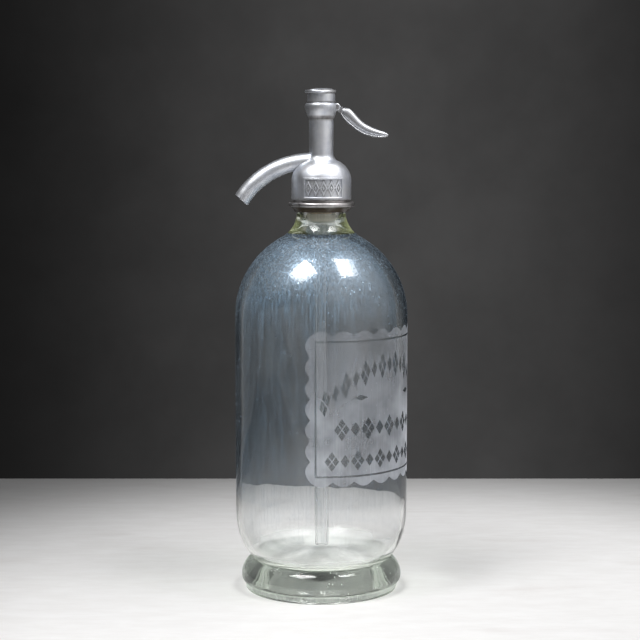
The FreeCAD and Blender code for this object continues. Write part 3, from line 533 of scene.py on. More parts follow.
# %% The outside of the bottle
def outside_of_bottle():
    shoulder, fillet, meet = shoulder_arcs(SHOULDER_RADIUS, NECK_FILLET, NECK_RADIUS)
    heel = (WALL_BOTTOM_Z - WAIST[1]) / 3
    return outline(
        (0, PUSH_UP),
        curve((REST_INNER * 0.55, PUSH_UP), (REST_INNER * 0.9, PUSH_UP * 0.6), (REST_INNER, 0.4), 24),
        curve((REST_INNER + 0.2, 0), (REST_INNER + 0.5, 0), (REST_INNER + 1.0, 0), 3),
        line(REST_OUTER - 0.8, 0, 3),
        curve((REST_OUTER - 0.2, 0), (REST_OUTER, 0.2), (REST_OUTER + 0.1, 0.8), 4),
        line(SEAM[0] - SEAM_DEPTH, SEAM[1] - SEAM_DEPTH, 4),
        curve((SEAM[0] - 0.5, SEAM[1] - 0.2), (SEAM[0] - 0.3, SEAM[1]), (SEAM[0], SEAM[1] + 0.2), 4),
        curve((FOOT_RADIUS, SEAM[1] + 1.5), (FOOT_RADIUS, FOOT_WIDEST_Z - 1.5),
              (FOOT_RADIUS, FOOT_WIDEST_Z), 10),
        curve((FOOT_RADIUS, FOOT_WIDEST_Z + 4.4), ((FOOT_RADIUS + WAIST[0]) / 2, WAIST[1] - 2.0),
              (WAIST[0] + 0.6, WAIST[1] - 0.4), 18),
        curve((WAIST[0] + 0.1, WAIST[1]), (WAIST[0] + 0.1, WAIST[1] + 0.2),
              (WAIST[0] + 0.5, WAIST[1] + 0.6), 4),
        curve((BODY_RADIUS, WAIST[1] + heel), (BODY_RADIUS, WAIST[1] + 2 * heel),
              (BODY_RADIUS, WALL_BOTTOM_Z), 22),
        line(BODY_RADIUS, WALL_TOP_Z, 36),
        arc(shoulder, meet, 36),
        arc(fillet, (NECK_RADIUS, fillet[1]), 18),
        line(GROOVE_RADIUS, fillet[1]),
        line(GROOVE_RADIUS, fillet[1] + GROOVE_HEIGHT, 3),
        line(BEAD_RADIUS, fillet[1] + GROOVE_HEIGHT),
        line(BEAD_RADIUS, LIP_Z - LIP_ROUND, 3),
        arc((BEAD_RADIUS - LIP_ROUND, LIP_Z - LIP_ROUND), (BEAD_RADIUS - LIP_ROUND, LIP_Z), 5),
        line(NECK_BORE, LIP_Z, 2))


print("outside:", len(outside_of_bottle()), "points")


# %% [markdown]
# ## The inside
# The inner wall has a low dome for a floor with a moat round it, and its bore stays narrow up to the lip.
# Lime needs the same wall a little further in, so the gap to the wall is a parameter.

# %% The inside of the bottle
def inside_of_bottle(gap=0.0):
    """The inner wall, or a skin that lies gap inside it."""
    inner = BODY_RADIUS - GLASS_WALL - gap
    shoulder, fillet, meet = shoulder_arcs(
        SHOULDER_RADIUS - GLASS_WALL - gap, NECK_FILLET_INSIDE + gap, NECK_BORE - gap)
    rise = HEEL_INSIDE_Z - MOAT[1]
    return outline(
        (0, FLOOR_Z + gap),
        curve((MOAT[0] * 0.4, FLOOR_Z + gap), (MOAT[0] * 0.6, MOAT[1] + gap), (MOAT[0], MOAT[1] + gap), 18),
        curve((inner - 5.0, MOAT[1] + gap), (inner, MOAT[1] + 0.45 * rise), (inner, HEEL_INSIDE_Z), 26),
        line(inner, WALL_TOP_Z, 38),
        arc(shoulder, meet, 34),
        arc(fillet, (NECK_BORE - gap, fillet[1]), 14),
        line(NECK_BORE - gap, LIP_Z, 8))


print("inside:", len(inside_of_bottle()), "points")


# %% [markdown]
# ## Blowing the bottle
# Spinning the two outlines gives a perfect bottle, and a perfect bottle looks like plastic. The inner wall of
# a pressed and blown siphon drifts by a few tenths of a millimetre, and that is what makes the view through
# it swim. It is also thicker under the shoulder, thinner at the heel, and more so on one side. Both fade out
# at the neck, where the two walls are joined.

# %% The glass bottle
GLASS_STEPS = 180
DRIFT_DEPTH, QUICK_SHARE = 0.42, 0.35
SLOW_WAVE, QUICK_WAVE = (30, 75), (11, 40, 9)  # millimetres across and upwards, and a shift of the pattern
FADE_BELOW_LIP, FADE_LENGTH = 15, 30
WALL_TAPER, TAPER_LEAN, TAPER_START = 1.2, 0.35, 20


def wave(point, across, upwards, shift=0):
    return noise.noise(Vector((point.x / across, point.y / across, point.z / upwards + shift)))


def drift(point):
    """How far the inner wall stands off its true place, in millimetres."""
    waves = (wave(point, *SLOW_WAVE) + QUICK_SHARE * wave(point, *QUICK_WAVE)) * DRIFT_DEPTH
    middle, half = (WALL_TOP_Z + WALL_BOTTOM_Z) / 2, (WALL_TOP_Z - WALL_BOTTOM_Z) / 2
    taper = WALL_TAPER * max(-1.0, min(1.0, (point.z - middle) / half))
    taper *= clamped((point.z - MOAT[1]) / TAPER_START)
    fade = clamped((LIP_Z - FADE_BELOW_LIP - point.z) / FADE_LENGTH)
    return (waves + taper * (1 + TAPER_LEAN * point.x / BODY_RADIUS)) * fade


def drift_inwards(verts):
    for v in verts:
        flat = Vector((v.co.x, v.co.y, 0))
        if flat.length > 1:
            v.co -= flat.normalized() * drift(v.co)


bm = bmesh.new()
turn(bm, outside_of_bottle(), GLASS_STEPS)
drift_inwards(turn(bm, inside_of_bottle(), GLASS_STEPS))
close_up(bm)
print(f"glass volume {bm.calc_volume(signed=True) / 1000:.0f} cubic centimetres")
finish(bm, "blown_bottle", blown_glass, "bottle_glass", "glass_bottle", sharp=50)


# %% [markdown]
# ## The lime inside
# Lime follows the inner wall, drift and all, a tenth of a millimetre away from it: a thin veil on the wall, a
# thick pale crust on the floor and a tan ring in the neck. The crust and the ring are paler and denser than
# lime alone, as painted light that stands in for the light the glass gathers there, and the veil is denser on
# the left, which is painted light too. Each is spun as an open skin of a single layer, because light has to
# pass every layer that lies in its way.

# %% The lime skins
VEIL_GAP = 0.10
LIMES = {"floor_crust_and_painted_light": (floor_lime_and_painted_light, 0.0, 32.0),  # the film, and the heights that it lies between
         "lime_veil": (veil_and_painted_light, 30.0, 222.0),
         "neck_ring": (neck_lime_and_painted_light, 221.5, 232.0)}
inner_wall = inside_of_bottle(VEIL_GAP)
for name, (film, low_z, high_z) in LIMES.items():
    bm = bmesh.new()
    drift_inwards(turn(bm, [p for p in inner_wall if low_z <= p[1] <= high_z], GLASS_STEPS))
    close_up(bm)
    finish(bm, name, film, "bottle_glass")


# %% [markdown]
# ## Scuffs outside
# Crates and years of handling have dulled the outside too. The body's skin carries the haze right to the edge
# of the silhouette, where the eye looks through it at a slant, and it is made denser towards the neck and on
# the left, which is painted light. The neck has its own yellow-green stain, which also paints in the light
# that glows in the thick glass of the neck, and the foot a greyer one, densest at its lowest millimetres,
# which paints the lip brighter. So the outside wears three skins, each over its own range of heights.

# %% The scuffed skins
SCUFF_GAP = 0.04
SKINS = {"foot_skin": (foot_scuffs_and_painted_light, 1.0, WAIST[1]),
         "scuffed_skin": (scuffs_and_painted_light, 58.0, 219.0),
         "neck_skin": (neck_stain_and_painted_light, 216.0, COLLAR_Z - 0.2)}
outer_wall = [(radius + SCUFF_GAP, z) for radius, z in outside_of_bottle()
              if radius > GROOVE_RADIUS and (radius > WAIST[0] or z > WAIST[1])]
for name, (film, low_z, high_z) in SKINS.items():
    finish(spun([p for p in outer_wall if low_z <= p[1] <= high_z], GLASS_STEPS), name, film, "bottle_glass")


# %% [markdown]
# ## The dip tube
# The tube brings the soda up from the floor. It is drawn glass, and years in hard water have left it a little
# cloudy, so it is a spun pipe with a film of lime round it.

# %% Dip tube
TUBE_RADIUS, TUBE_BORE, TUBE_ROUND = 4.0, 2.7, 0.3
TUBE_STEPS = 48
LIME_RADIUS = TUBE_RADIUS + 0.06
pipe = outline(
    (TUBE_BORE, TUBE_Z + TUBE_ROUND),
    arc((TUBE_BORE + TUBE_ROUND, TUBE_Z + TUBE_ROUND), (TUBE_BORE + TUBE_ROUND, TUBE_Z), 3),
    line(TUBE_RADIUS - TUBE_ROUND, TUBE_Z),
    arc((TUBE_RADIUS - TUBE_ROUND, TUBE_Z + TUBE_ROUND), (TUBE_RADIUS, TUBE_Z + TUBE_ROUND), 3),
    line(TUBE_RADIUS, TUBE_TOP_Z, 40), line(TUBE_BORE, TUBE_TOP_Z), line(TUBE_BORE, TUBE_Z + 1, 40))
finish(spun(pipe, TUBE_STEPS, closed=True), "drawn_tube", drawn_glass, "tube_glass", "dip_tube")
limed = outline((LIME_RADIUS, TUBE_Z + 1), line(LIME_RADIUS, BUSH_Z - 0.5, 60))
finish(spun(limed, TUBE_STEPS), "tube_lime_skin", tube_lime, "tube_glass")


# %% [markdown]
# ## Old rubber
# Natural rubber is tan and goes pale and powdery with age, and moulded rubber stays nearly black. Both are
# matt with a fine grain, so one recipe mixes a colour with its worn one by a cloudy noise.

# %% Materials: rubber
def rubber(name, colour, worn_colour, roughness):
    material, tree = new_material(name)
    bloom = noise_at(tree, 260.0, 6.0, Roughness=0.7)
    tone = blend_colour(tree, between(tree, bloom, 0.35, 0.68), colour, worn_colour)
    gloss = between(tree, bloom, 0.3, 0.7, roughness - 0.1, roughness + 0.1)
    grained(tree, noise_at(tree, 2400.0, 2.0), 0.5, 0.00005, {"Base Color": tone, "Roughness": gloss})
    return material


aged_gum = rubber("aged_gum", (0.76, 0.60, 0.40), (0.86, 0.76, 0.58), 0.7)
moulded_rubber = rubber("moulded_rubber", (0.025, 0.025, 0.026), (0.06, 0.058, 0.055), 0.65)
print("rubbers:", aged_gum.name, moulded_rubber.name)


# %% [markdown]
# ## The gum bush
# A tan rubber bush grips the tube's top end inside the neck. It is a short thick ring with a rounded foot,
# and a little noise keeps it from looking machined.

# %% The gum bush
BUSH_RADIUS, BUSH_BORE, BUSH_STEPS = 6.5, TUBE_RADIUS + 0.1, 64
bm = spun(outline(
    (BUSH_BORE, BUSH_Z), line(BUSH_RADIUS - 1.1, BUSH_Z, 2),
    curve((BUSH_RADIUS - 0.4, BUSH_Z), (BUSH_RADIUS - 0.1, BUSH_Z + 0.4), (BUSH_RADIUS, BUSH_Z + 1.2), 6),
    line(BUSH_RADIUS, BUSH_TOP_Z, 24), line(BUSH_BORE, BUSH_TOP_Z)), BUSH_STEPS, closed=True)
weather(bm.verts, depth=0.12, size=3.0, seed=4.0)
finish(bm, "gum_bush", aged_gum, "gum_rubber", "tube_bush")


# %% [markdown]
# ## Marking the corners
# Dirt and tarnish stay where a cloth can't reach. Each metal piece gets an attribute named corner, from 0 on
# open faces to 1 in corners, which the pewter group reads. It is set by height, because on turned metal the
# corners are rings. A function can add to it, and on the bell's panel that addition is painted shade by the
# ridges.

# %% Corners as an attribute
def mark_corners(piece, rings, reach=1.6, extra=None):
    """rings are (radius, height) in millimetres. A point's distance to the nearest one sets its value, and
    extra adds to it."""
    attribute = piece.data.attributes.new("corner", "FLOAT", "POINT")
    for item, vertex in zip(attribute.data, piece.data.vertices):
        point = vertex.co / MM
        radius = math.hypot(point.x, point.y)
        near = min(math.hypot(radius - r, point.z - z) for r, z in rings)
        value = max(0.0, 1.0 - near / reach) ** 1.5
        item.value = min(1.0, value + (extra(radius, point) if extra else 0.0))


# %% [markdown]
# ## Cutting and softening
# Metal parts are cut, thickened and given soft edges again and again. bmesh operators answer with mixed lists
# of points, edges and faces, so two small helpers sort them, and three more wrap a cut along a plane, an
# extrusion and a bevel. `lay` is the matrix that stands a flat shape upright at its place.

# %% Helpers for cutting and softening
def points_in(geom):
    return [g for g in geom if isinstance(g, bmesh.types.BMVert)]


def edges_in(geom):
    return [g for g in geom if isinstance(g, bmesh.types.BMEdge)]


def slice_at(bm, point, normal, distance=0.001, **kept):
    """Cuts everything along a plane and returns the edges of the cut."""
    cut = bmesh.ops.bisect_plane(bm, geom=bm.verts[:] + bm.edges[:] + bm.faces[:], dist=distance,
                                 plane_co=point, plane_no=normal, **kept)
    return edges_in(cut["geom_cut"])


def thicken(bm, by):
    """Extrudes all faces by a vector."""
    made = bmesh.ops.extrude_face_region(bm, geom=bm.faces[:])["geom"]
    bmesh.ops.translate(bm, vec=by, verts=points_in(made))
    close_up(bm)


def soften(bm, edges, width, segments):
    bmesh.ops.bevel(bm, geom=edges, affect="EDGES", offset=width, segments=segments, profile=0.5,
                    material=-1)


def lay(point, axis="X", size=(1, 1, 1)):
    """Sizes a flat shape, turns it a quarter about an axis and moves it to a point."""
    return Matrix.Translation(point) @ Matrix.Rotation(math.pi / 2, 4, axis) @ Matrix.Diagonal((*size, 1))


# %% [markdown]
# ## The neck collar
# Two half rings grip the groove of the glass neck, and the bell screws down over them. Their rim shows as a
# bright bead under the bell, with the split at the front left. The ring is spun whole and then cut in two.

# %% Collar halves
METAL_STEPS = 144
COLLAR_BORE, COLLAR_FOOT = 13.23, 16.3
RIM_RADIUS, RIM_ROUND = 20.0, 1.1
RIM_Z, RIM_TOP_Z = COLLAR_Z + 2.9, COLLAR_Z + 5.7
THREAD_RADIUS, THREAD_BORE = 16.4, 15.05
LIP_UNDER_Z = COLLAR_Z + 4.84
SPLIT_AZIMUTH, SPLIT_WIDTH = -41.0, 0.4


def collar_half(side):
    edge = RIM_RADIUS - RIM_ROUND
    bm = spun(outline(
        (COLLAR_BORE, COLLAR_Z), line(COLLAR_FOOT, COLLAR_Z, 2),
        curve((COLLAR_FOOT + 0.3, RIM_Z - 1.6), (RIM_RADIUS - 2.0, RIM_Z - 0.4), (edge, RIM_Z), 8),
        arc((edge, RIM_Z + RIM_ROUND), (RIM_RADIUS, RIM_Z + RIM_ROUND), 6),
        line(RIM_RADIUS, RIM_TOP_Z - RIM_ROUND, 2),
        arc((edge, RIM_TOP_Z - RIM_ROUND), (edge, RIM_TOP_Z), 6),
        line(THREAD_RADIUS, RIM_TOP_Z, 3), line(THREAD_RADIUS, COLLAR_END_Z, 3),
        line(THREAD_BORE, COLLAR_END_Z), line(THREAD_BORE, LIP_UNDER_Z, 3),
        line(COLLAR_BORE, LIP_UNDER_Z)), METAL_STEPS, closed=True)
    weather(bm.verts, depth=0.10, size=5.0, seed=side * 3.0)
    split = math.radians(SPLIT_AZIMUTH - 90)
    across = Vector((-math.sin(split), math.cos(split), 0)) * side
    rim = slice_at(bm, across * SPLIT_WIDTH / 2, across, clear_inner=True)
    bmesh.ops.holes_fill(bm, edges=rim, sides=0)
    close_up(bm)
    return bm


def under_rim(_, point):
    """Darkens everything that lies below the rim's bead."""
    return clamped((RIM_Z + 0.6 - point.z) / 0.8)


for side, half in ((1, "right"), (-1, "left")):
    piece = finish(collar_half(side), f"collar_{half}", collar_pewter, "pewter", f"neck_collar_{half}")
    mark_corners(piece, [(THREAD_RADIUS + 1.4, RIM_TOP_Z)], 2.2, under_rim)


# %% [markdown]
# ## The head casting
# Bell, dome, column and bulb are one casting. It is spun from its outline, hollow as the real one is, with
# the chamber for the valve below and the passage for the stem above it.

# %% The casting's outline
BELL_RADIUS, BELL_EDGE = 18.1, 0.6
DOME_Z, DOME_RADIUS = BELL_Z + 11.5, 13.0
COLUMN_RADIUS, COLUMN_FILLET, COLUMN_TOP_Z = 7.3, 4.5, 287.3
BULB_FOOT, BULB_RADIUS, BULB_WIDEST_Z = 7.7, 9.9, 294.9
BULB_SHOULDER, BULB_TOP_Z = 8.6, 296.8
CAP_NECK_RADIUS = 6.95
BELL_BORE, BELL_SHOULDER_Z = 16.45, 248.17
CHAMBER_RADIUS, CHAMBER_HEIGHT, CHAMBER_ROOF = 8.5, 4.4, 8.0
PASSAGE_RADIUS, BULB_BORE = 4.3, 5.4


def casting_outline():
    dome = (BELL_RADIUS - DOME_RADIUS, DOME_Z)
    reach = COLUMN_RADIUS + COLUMN_FILLET - dome[0]
    fillet = (COLUMN_RADIUS + COLUMN_FILLET,
              DOME_Z + math.sqrt((DOME_RADIUS + COLUMN_FILLET) ** 2 - reach ** 2))
    edge = (BELL_RADIUS - BELL_EDGE, BELL_Z + BELL_EDGE)
    return outline(
        (BELL_BORE, BELL_Z), line(edge[0], BELL_Z, 2), arc(edge, (BELL_RADIUS, edge[1]), 5),
        line(BELL_RADIUS, DOME_Z, 16),
        arc(dome, tangent_point(dome, DOME_RADIUS, fillet), 22),
        arc(fillet, (COLUMN_RADIUS, fillet[1]), 12),
        line(COLUMN_RADIUS + 0.1, COLUMN_TOP_Z - 0.4, 30),
        curve((COLUMN_RADIUS, COLUMN_TOP_Z - 0.1), (COLUMN_RADIUS, COLUMN_TOP_Z),
              (BULB_FOOT, COLUMN_TOP_Z + 0.2), 3),
        curve((BULB_FOOT + 1.1, COLUMN_TOP_Z + 3.2), (BULB_RADIUS, BULB_WIDEST_Z - 2.6),
              (BULB_RADIUS, BULB_WIDEST_Z), 16),
        curve((BULB_RADIUS, BULB_TOP_Z - 0.3), (BULB_SHOULDER + 0.3, BULB_TOP_Z),
              (BULB_SHOULDER, BULB_TOP_Z), 6),
        line(CAP_NECK_RADIUS, BULB_TOP_Z, 3), line(CAP_NECK_RADIUS, CASTING_TOP_Z, 4),
        line(BULB_BORE, CASTING_TOP_Z), line(BULB_BORE, COLUMN_TOP_Z, 8), line(PASSAGE_RADIUS, COLUMN_TOP_Z),
        line(PASSAGE_RADIUS, BELL_SHOULDER_Z + CHAMBER_ROOF, 20),
        line(CHAMBER_RADIUS, BELL_SHOULDER_Z + CHAMBER_HEIGHT, 3),
        line(CHAMBER_RADIUS, BELL_SHOULDER_Z, 3), line(BELL_BORE, BELL_SHOULDER_Z, 3))


# %% [markdown]
# ## The ears and the slot
# The lever turns on a pin between two ears, in a slot across the bulb. The ears are joined on and the slot is
# cut out with Boolean modifiers, which are applied at once so that the piece stays a plain mesh.

# %% The ears, the slot and the joining
EAR_RADIUS, EAR_THICKNESS, EAR_ROOT, EAR_SOFT = 2.2, 1.8, 4.0, 0.45
SLOT_HALF = 1.9
SLOT_FLOOR_Z, SLOT_ROOF_Z = 290.5, BULB_TOP_Z - 0.9
SLOT_END_X = PIVOT.x + EAR_RADIUS + 1


def ear(side):
    """A rounded ear: a disc whose inner half is pulled back into the bulb, then thickened."""
    bm = bmesh.new()
    stand = lay((PIVOT.x, side * SLOT_HALF, PIVOT.z))
    flat = bmesh.ops.create_circle(bm, cap_ends=True, radius=EAR_RADIUS, segments=40, matrix=stand)["verts"]
    inner = [v for v in flat if v.co.x < PIVOT.x - 0.01]
    bmesh.ops.translate(bm, vec=(-EAR_ROOT, 0, 0), verts=inner)
    thicken(bm, (0, side * EAR_THICKNESS, 0))
    outer = [e for e in bm.edges
             if all(abs(abs(v.co.y) - SLOT_HALF - EAR_THICKNESS) < 0.01 for v in e.verts)]
    soften(bm, outer, EAR_SOFT, 4)
    close_up(bm)
    return bm


def slot_block(start_x, top_z):
    """What is cut away: a block as wide as the slot, from its floor up."""
    bm = bmesh.new()
    low, high = Vector((start_x, -SLOT_HALF, SLOT_FLOOR_Z)), Vector((SLOT_END_X, SLOT_HALF, top_z))
    bmesh.ops.create_cube(bm, size=1.0, matrix=Matrix.Translation((low + high) / 2) @ Matrix.Diagonal(
        (*(high - low), 1)))
    close_up(bm)
    return bm


def take_mesh(first, *others):
    """The first object's mesh, with its modifiers or fill applied, as a bmesh. The objects are removed."""
    bpy.context.view_layer.update()
    mesh = bpy.data.meshes.new_from_object(first.evaluated_get(bpy.context.evaluated_depsgraph_get()))
    for thing in (first, *others):
        bpy.data.objects.remove(thing)
    bm = bmesh.new()
    bm.from_mesh(mesh)
    bpy.data.meshes.remove(mesh)
    return bm


def combine(bm, tools):
    """Joins or cuts solids, one after another, and returns the result as a new bmesh."""
    things = [to_object(shape, "work") for shape in [bm] + [tool for tool, _ in tools]]
    for thing, (_, operation) in zip(things[1:], tools):
        step = things[0].modifiers.new(thing.name, "BOOLEAN")
        step.operation, step.object, step.solver = operation, thing, "EXACT"
    return take_mesh(*things)


# %% [markdown]
# ## The raised panel on the bell
# A plain frame holds a row of lozenges. Everything is drawn flat, with x along the bell, y out of it and z
# up, and is then wrapped round the bell: x becomes an angle and y a radius. A flat shape gets its body by an
# extrusion, and only the edges of its upper face are softened.

# %% Panel: measures and tools
FRONT = -90.0
PANEL_AZIMUTH, PANEL_HALF_ANGLE = 4.0, 40.0
PANEL_Z, PANEL_HEIGHT = BELL_Z + 1.2, 12.6
PANEL_MIDDLE_Z = PANEL_Z + PANEL_HEIGHT / 2
PANEL_WIDTH = 2 * math.radians(PANEL_HALF_ANGLE) * BELL_RADIUS
PANEL_RELIEF, PANEL_SUNK = 0.85, 0.4
PANEL_BORDER, PANEL_COLUMNS, PANEL_SOFT = 1.1, 22, 0.34
LOZENGES, LOZENGE_WIDTH, LOZENGE_HEIGHT = 5, 4.3, 9.2
LOZENGE_RIDGE, LOZENGE_CORE, LOZENGE_SOFT = 0.85, 0.3, 0.26
PITCH = 2 * (math.radians(PANEL_HALF_ANGLE) * BELL_RADIUS - PANEL_BORDER) / LOZENGES
LOZENGE_XS = [(i - (LOZENGES - 1) / 2) * PITCH for i in range(LOZENGES)]


def wrap(bm, radius, azimuth):
    for v in bm.verts:
        angle = math.radians(FRONT + azimuth) + v.co.x / radius
        out = radius + v.co.y
        v.co = Vector((out * math.cos(angle), out * math.sin(angle), v.co.z))


def raise_faces(bm, soft):
    """Gives flat faces a body from below the bell's skin to the relief above it, with soft upper edges."""
    thicken(bm, (0, PANEL_RELIEF + PANEL_SUNK, 0))
    edges = [e for e in bm.edges if all(abs(v.co.y - PANEL_RELIEF) < 0.001 for v in e.verts)
             and len(e.link_faces) == 2 and e.calc_face_angle(0) > 0.5]
    soften(bm, edges, soft, 3)


def inset(bm, width):
    bmesh.ops.inset_region(bm, faces=bm.faces[:], thickness=width, use_boundary=True, use_even_offset=True)


# %% [markdown]
# ## The frame and its lozenges
# The frame is a grid with an inset border, whose inner faces are deleted. A lozenge is a circle of four
# sides, treated in the same way, with a small solid one at its core.

# %% Panel: frame and lozenges
def panel_frame():
    bm = bmesh.new()
    lie = lay((0, -PANEL_SUNK, PANEL_MIDDLE_Z), size=(PANEL_WIDTH / 2, PANEL_HEIGHT / 2, 1))
    bmesh.ops.create_grid(bm, x_segments=PANEL_COLUMNS, y_segments=1, size=1.0, matrix=lie)
    inset(bm, PANEL_BORDER)
    middles = [(f, f.calc_center_median()) for f in bm.faces]
    inner = [f for f, middle in middles if abs(middle.z - PANEL_MIDDLE_Z) < PANEL_HEIGHT / 2 - PANEL_BORDER
             and abs(middle.x) < PANEL_WIDTH / 2 - PANEL_BORDER]
    bmesh.ops.delete(bm, geom=inner, context="FACES")
    raise_faces(bm, PANEL_SOFT)
    return bm


def diamond_ridge(x, scale, hollow):
    bm = bmesh.new()
    middle = Vector((x, -PANEL_SUNK, PANEL_MIDDLE_Z))
    lie = lay(middle, size=(LOZENGE_WIDTH * scale, LOZENGE_HEIGHT * scale, 1))
    bmesh.ops.create_circle(bm, cap_ends=True, radius=0.5, segments=4, matrix=lie)
    if hollow:
        inset(bm, LOZENGE_RIDGE)
        centre = min(bm.faces, key=lambda f: (f.calc_center_median() - middle).length)
        bmesh.ops.delete(bm, geom=[centre], context="FACES")
    raise_faces(bm, LOZENGE_SOFT)
    return bm


def join(bm, others):
    """Adds the other meshes to the first one."""
    for other in others:
        mesh = bpy.data.meshes.new("part")
        other.to_mesh(mesh)
        other.free()
        bm.from_mesh(mesh)
        bpy.data.meshes.remove(mesh)
    return bm


def panel():
    """The frame, and in it diamond ridges, each with a small diamond at its core."""
    ridges = [diamond_ridge(x, *kind) for x in LOZENGE_XS for kind in ((1.0, True), (LOZENGE_CORE, False))]
    bm = join(panel_frame(), ridges)
    wrap(bm, BELL_RADIUS, PANEL_AZIMUTH)
    return bm


# %% [markdown]
# ## Spinning, knocking and cutting the head
# The spun casting is first worn and dented, then cut, and the panel is laid on last, so that its edges stay
# crisp. Small knocks are points pushed in along their normals, deepest at the centre of the knock.

# %% The head casting
SKIN_RADIUS = 6.9  # points further out than this belong to the outside
DENTS = [((0.2, -9.9, 294.6), 0.55, 0.30), ((2.3, -9.6, 294.2), 0.7, 0.34), ((1.2, -9.8, 295.4), 0.5, 0.2),
         ((-1.6, -17.6, 251.5), 1.2, 0.25)]  # centre, radius and depth


def dent(verts, centre, radius, depth):
    for v in verts:
        away = (v.co - Vector(centre)).length / radius
        if away < 2:
            v.co -= v.normal * depth * math.exp(-2 * away * away)


bm = spun(casting_outline(), METAL_STEPS, closed=True)
outer = [v for v in bm.verts if math.hypot(v.co.x, v.co.y) > SKIN_RADIUS]
weather(outer, depth=0.16, size=7.0, seed=1.0)
weather(outer, depth=0.05, size=2.2, seed=2.0)
for knock in DENTS:
    dent(outer, *knock)
bm = combine(bm, [(ear(1), "UNION"), (ear(-1), "UNION"), (slot_block(0, SLOT_ROOF_Z), "DIFFERENCE"),
                  (slot_block(CAP_NECK_RADIUS + 0.3, BULB_TOP_Z + 1), "DIFFERENCE")])
head = finish(join(bm, [panel()]), "bell_and_column", head_pewter, "pewter", "head_casting", sharp=32)


# %% [markdown]
# ## Tarnish and painted shade on the head
# Tarnish gathers under the bulb, under the cap and along the bell's edge. In the panel, painted shade makes
# it dark close to a ridge and light on the open ground, which is what makes a low relief readable.

# %% Corners of the head
# painted shade: the panel is dark close to its ridges and light on its open ground
RIDGE_PAINTED_SHADE, GROUND_PAINTED_SHADE = 0.45, 0.08


def panel_ground(radius, point):
    across = math.degrees(math.atan2(point.y, point.x)) - FRONT - PANEL_AZIMUTH
    across = (across + 180) % 360 - 180
    inside = abs(across) < PANEL_HALF_ANGLE + 1.0 and -0.4 < point.z - PANEL_Z < PANEL_HEIGHT + 0.4
    if not inside or radius > BELL_RADIUS + PANEL_RELIEF * 0.8:
        return 0.0
    x = math.radians(across) * BELL_RADIUS
    nearest = min(abs(x - middle) for middle in LOZENGE_XS)
    height = abs(point.z - PANEL_Z - PANEL_HEIGHT / 2)
    reach = 2 * nearest / LOZENGE_WIDTH + 2 * height / LOZENGE_HEIGHT
    return RIDGE_PAINTED_SHADE if reach < 1.25 else GROUND_PAINTED_SHADE


mark_corners(head, [(COLUMN_RADIUS, COLUMN_TOP_Z), (BULB_FOOT, COLUMN_TOP_Z + 1.0),
                    (BULB_SHOULDER - 0.8, BULB_TOP_Z), (BELL_RADIUS, BELL_Z)], 1.8, panel_ground)


# %% [markdown]
# ## The spout
# A tube is a circle spun about a centre that lies below it: a short straight start inside the dome, then one
# long bend. The bore is a second, smaller spin, and the two are bridged at the ends. The mouth is then cut a
# little steeper than square, so that the under side is the longer one, and its rim is softened.

# %% Spout tube
SPOUT_RADIUS, SPOUT_BORE, SPOUT_SIDES = 5.0, 3.5, 56
SPOUT_START, SPOUT_ROOT_X = Vector((-6.0, 0, 261.8)), -4.9
SPOUT_BEND, SPOUT_SWEEP, SPOUT_SPARE = 50.0, 57.0, 3  # the spare degrees are cut off again
SPOUT_MITRE, SPOUT_SOFT = 8.0, 0.45
SPOUT_CENTRE = SPOUT_START - Vector((0, 0, SPOUT_BEND))


def bent_pipe(bm, radius):
    """Returns the edges of the two open ends."""
    ring = bmesh.ops.create_circle(bm, radius=radius, segments=SPOUT_SIDES,
                                   matrix=lay((SPOUT_ROOT_X, 0, SPOUT_START.z), "Y"))["verts"]
    first = list({e for v in ring for e in v.link_edges})
    made = bmesh.ops.extrude_edge_only(bm, edges=first)["geom"]
    verts = points_in(made)
    edges = [e for e in edges_in(made) if all(v in verts for v in e.verts)]
    bmesh.ops.translate(bm, vec=(SPOUT_START.x - SPOUT_ROOT_X, 0, 0), verts=verts)
    last = bmesh.ops.spin(bm, geom=verts + edges, cent=SPOUT_CENTRE, axis=(0, -1, 0), steps=60,
                          angle=math.radians(SPOUT_SWEEP + SPOUT_SPARE), use_merge=False, use_duplicate=False)
    return first, edges_in(last["geom_last"])


bm = bmesh.new()
for outside, inside in zip(bent_pipe(bm, SPOUT_RADIUS), bent_pipe(bm, SPOUT_BORE)):
    bmesh.ops.bridge_loops(bm, edges=outside + inside)
close_up(bm)
sweep = math.radians(SPOUT_SWEEP)
outward = Vector((-math.sin(sweep), 0, math.cos(sweep)))
onward = Matrix.Rotation(math.radians(SPOUT_MITRE), 3, "Y") @ Vector((-math.cos(sweep), 0, -math.sin(sweep)))
mouth = SPOUT_CENTRE + outward * SPOUT_BEND
bmesh.ops.bridge_loops(bm, edges=slice_at(bm, mouth + outward * SPOUT_RADIUS, onward, clear_outer=True))
close_up(bm)
rims = [e for e in bm.edges
        if e.calc_face_angle(0) > 1.0 and (e.verts[0].co - mouth).length < SPOUT_RADIUS + 1.5]
soften(bm, rims, SPOUT_SOFT, 4)
bm.normal_update()
weather(bm.verts, depth=0.14, size=6.0, seed=7.0)
spout = finish(bm, "curved_spout", head_pewter, "pewter", "spout_tube")
mark_corners(spout, [(11.5, SPOUT_START.z - 5.5)], 4.0)


# %% [markdown]
# ## The solder
# The spout is soldered into the dome, and the solder stands round its root as a low uneven bead. It is spun
# upright like everything else, and then turned to lie along the spout.

